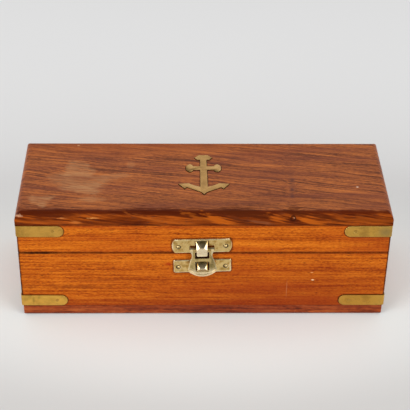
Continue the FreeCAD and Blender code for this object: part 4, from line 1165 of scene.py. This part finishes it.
@dataclass
class Studio:
    """Plain pale floor, soft lamps and the camera."""

    focal_pixels: float = 1257.0
    frame_pixels: float = 410.0
    sensor: float = 36.0
    eye: Point = (-0.01332, -0.53156, 0.42017)
    pitch: float = 35.16
    yaw: float = 1.54
    roll: float = 0.914
    floor_half: float = 6.0
    surround: float = 0.66
    dim_room: float = 0.1

    def camera(self) -> None:
        """Camera at the photograph's place.

        Its forward vector is (sin yaw cos pitch, cos yaw cos pitch, -sin pitch), and its right and up vectors
        are turned about it by the roll.
        """
        pitch, yaw, roll = (math.radians(a) for a in (self.pitch, self.yaw, self.roll))
        forward = Vector((math.sin(yaw) * math.cos(pitch), math.cos(yaw) * math.cos(pitch), -math.sin(pitch)))
        level_right = Vector((math.cos(yaw), -math.sin(yaw), 0.0))
        level_up = level_right.cross(forward)
        right = math.cos(roll) * level_right + math.sin(roll) * level_up
        up = math.cos(roll) * level_up - math.sin(roll) * level_right
        data = bpy.data.cameras.new("camera")
        data.sensor_width = self.sensor
        data.lens = self.sensor * self.focal_pixels / self.frame_pixels
        data.clip_start, data.clip_end = 0.01, 50.0
        camera = bpy.data.objects.new("camera", data)
        turned = Matrix((right, up, -forward)).transposed().to_4x4()
        camera.matrix_world = Matrix.Translation(self.eye) @ turned
        bpy.context.scene.collection.objects.link(camera)
        bpy.context.scene.camera = camera

    def floor(self) -> None:
        """Wide pale sheet, painted darker and a little warmer towards the camera, where the lamps light it more, and
        painted lighter and cooler round the box to lift its shadow and the orange light it throws.
        """
        half = self.floor_half
        corners = [(-half, -half, 0.0), (half, -half, 0.0), (half, half, 0.0), (-half, half, 0.0)]
        mesh = bpy.data.meshes.new("floor")
        mesh.from_pydata(corners, [], [(0, 1, 2, 3)])
        floor = bpy.data.objects.new("floor", mesh)
        bpy.context.scene.collection.objects.link(floor)
        graph = Graph("pale_floor")
        # Painted shade: darker towards the camera, where the lamps light the floor more.
        share = graph.level(graph.axis(1), -0.3, 0.3)
        colour = graph.mix(share, (200, 199, 196), (233, 233, 233))
        # Painted light: lighter and cooler round the box, to lift its shadow and its orange bounce.
        reach = graph.laid(graph.place, (0.135, 0.078, 1.0))
        near = graph.level(graph.vector("LENGTH", reach), 1.5, 0.75, 0.0, 0.7)
        graph.feed(graph.shader.inputs["Base Color"], graph.mix(near, colour, (246, 251, 250)))
        graph.shader.inputs["Roughness"].default_value = 0.9
        graph.shader.inputs["Specular IOR Level"].default_value = 0.0
        mesh.materials.append(graph.material)

    def lamp(self, name: str, place: Point, size: tuple[float, float], power: float) -> None:
        """Soft box that faces the object.

        Args:
            name: its name.
            place: its middle, in metres.
            size: its width and height in metres.
            power: its power in watts.
        """
        aim = (0.0, 0.0, 0.03)
        data = bpy.data.lights.new(name, "AREA")
        data.shape = "RECTANGLE"
        data.energy = power
        data.size, data.size_y = size
        lamp = bpy.data.objects.new(name, data)
        away = Vector(place) - Vector(aim)
        lamp.matrix_world = Matrix.Translation(place) @ away.to_track_quat("Z", "Y").to_matrix().to_4x4()
        bpy.context.scene.collection.objects.link(lamp)

    def world(self) -> None:
        """Even surrounding light, and what the camera and reflections see past the floor.

        The camera and clear rays see a pale grey. Reflections see it too behind the object and at its sides,
        and a dim room above and in front: brightness is a smooth step of the larger of the ray's Y direction
        and the size of its X direction.
        """
        world = bpy.data.worlds.new("world")
        bpy.context.scene.world = world
        world.use_nodes = True
        nodes, links = world.node_tree.nodes, world.node_tree.links
        seen = nodes.new("ShaderNodeLightPath").outputs
        either = nodes.new("ShaderNodeMath")
        either.operation = "MAXIMUM"
        links.new(seen["Is Camera Ray"], either.inputs[0])
        links.new(seen["Is Transmission Ray"], either.inputs[1])
        light = nodes["Background"]
        light.inputs["Color"].default_value = (1.0, 1.0, 1.0, 1.0)
        light.inputs["Strength"].default_value = self.surround
        backdrop = nodes.new("ShaderNodeBackground")
        backdrop.inputs["Color"].default_value = linear((223, 223, 223))
        direction = nodes.new("ShaderNodeTexCoord").outputs["Generated"]
        parts = nodes.new("ShaderNodeSeparateXYZ")
        links.new(direction, parts.inputs[0])
        sideways = nodes.new("ShaderNodeMath")
        sideways.operation = "ABSOLUTE"
        links.new(parts.outputs[0], sideways.inputs[0])
        larger = nodes.new("ShaderNodeMath")
        larger.operation = "MAXIMUM"
        links.new(sideways.outputs[0], larger.inputs[0])
        behind = nodes.new("ShaderNodeMath")
        behind.operation = "MULTIPLY"
        behind.inputs[1].default_value = 0.9
        links.new(parts.outputs[1], behind.inputs[0])
        links.new(behind.outputs[0], larger.inputs[1])
        room = nodes.new("ShaderNodeMapRange")
        room.interpolation_type = "SMOOTHSTEP"
        for key, value in ((1, 0.55), (2, 0.8), (3, self.dim_room), (4, 0.74)):
            room.inputs[key].default_value = value
        links.new(larger.outputs[0], room.inputs[0])
        reflected = nodes.new("ShaderNodeBackground")
        links.new(room.outputs[0], reflected.inputs["Strength"])
        first = nodes.new("ShaderNodeMixShader")
        links.new(seen["Is Glossy Ray"], first.inputs[0])
        links.new(light.outputs[0], first.inputs[1])
        links.new(reflected.outputs[0], first.inputs[2])
        second = nodes.new("ShaderNodeMixShader")
        links.new(either.outputs[0], second.inputs[0])
        links.new(first.outputs[0], second.inputs[1])
        links.new(backdrop.outputs[0], second.inputs[2])
        links.new(second.outputs[0], nodes["World Output"].inputs["Surface"])

    def build(self) -> None:
        """Sets the whole studio."""
        self.camera()
        self.floor()
        self.world()
        self.lamp("left_lamp", (-1.0, -0.88, 0.66), (0.9, 1.0), 10.5)
        self.lamp("right_lamp", (1.0, -0.88, 0.66), (0.9, 1.0), 9.0)
        bpy.context.scene.view_settings.view_transform = "Standard"


def main() -> None:
    """Builds the studio, then dresses the wood, the brass and the inside."""
    logging.basicConfig(level=logging.INFO, format="%(message)s")
    for part in (Studio(), Woodwork(), Brasswork(), Lining()):
        part.build()


if __name__ == "__main__":
    main()
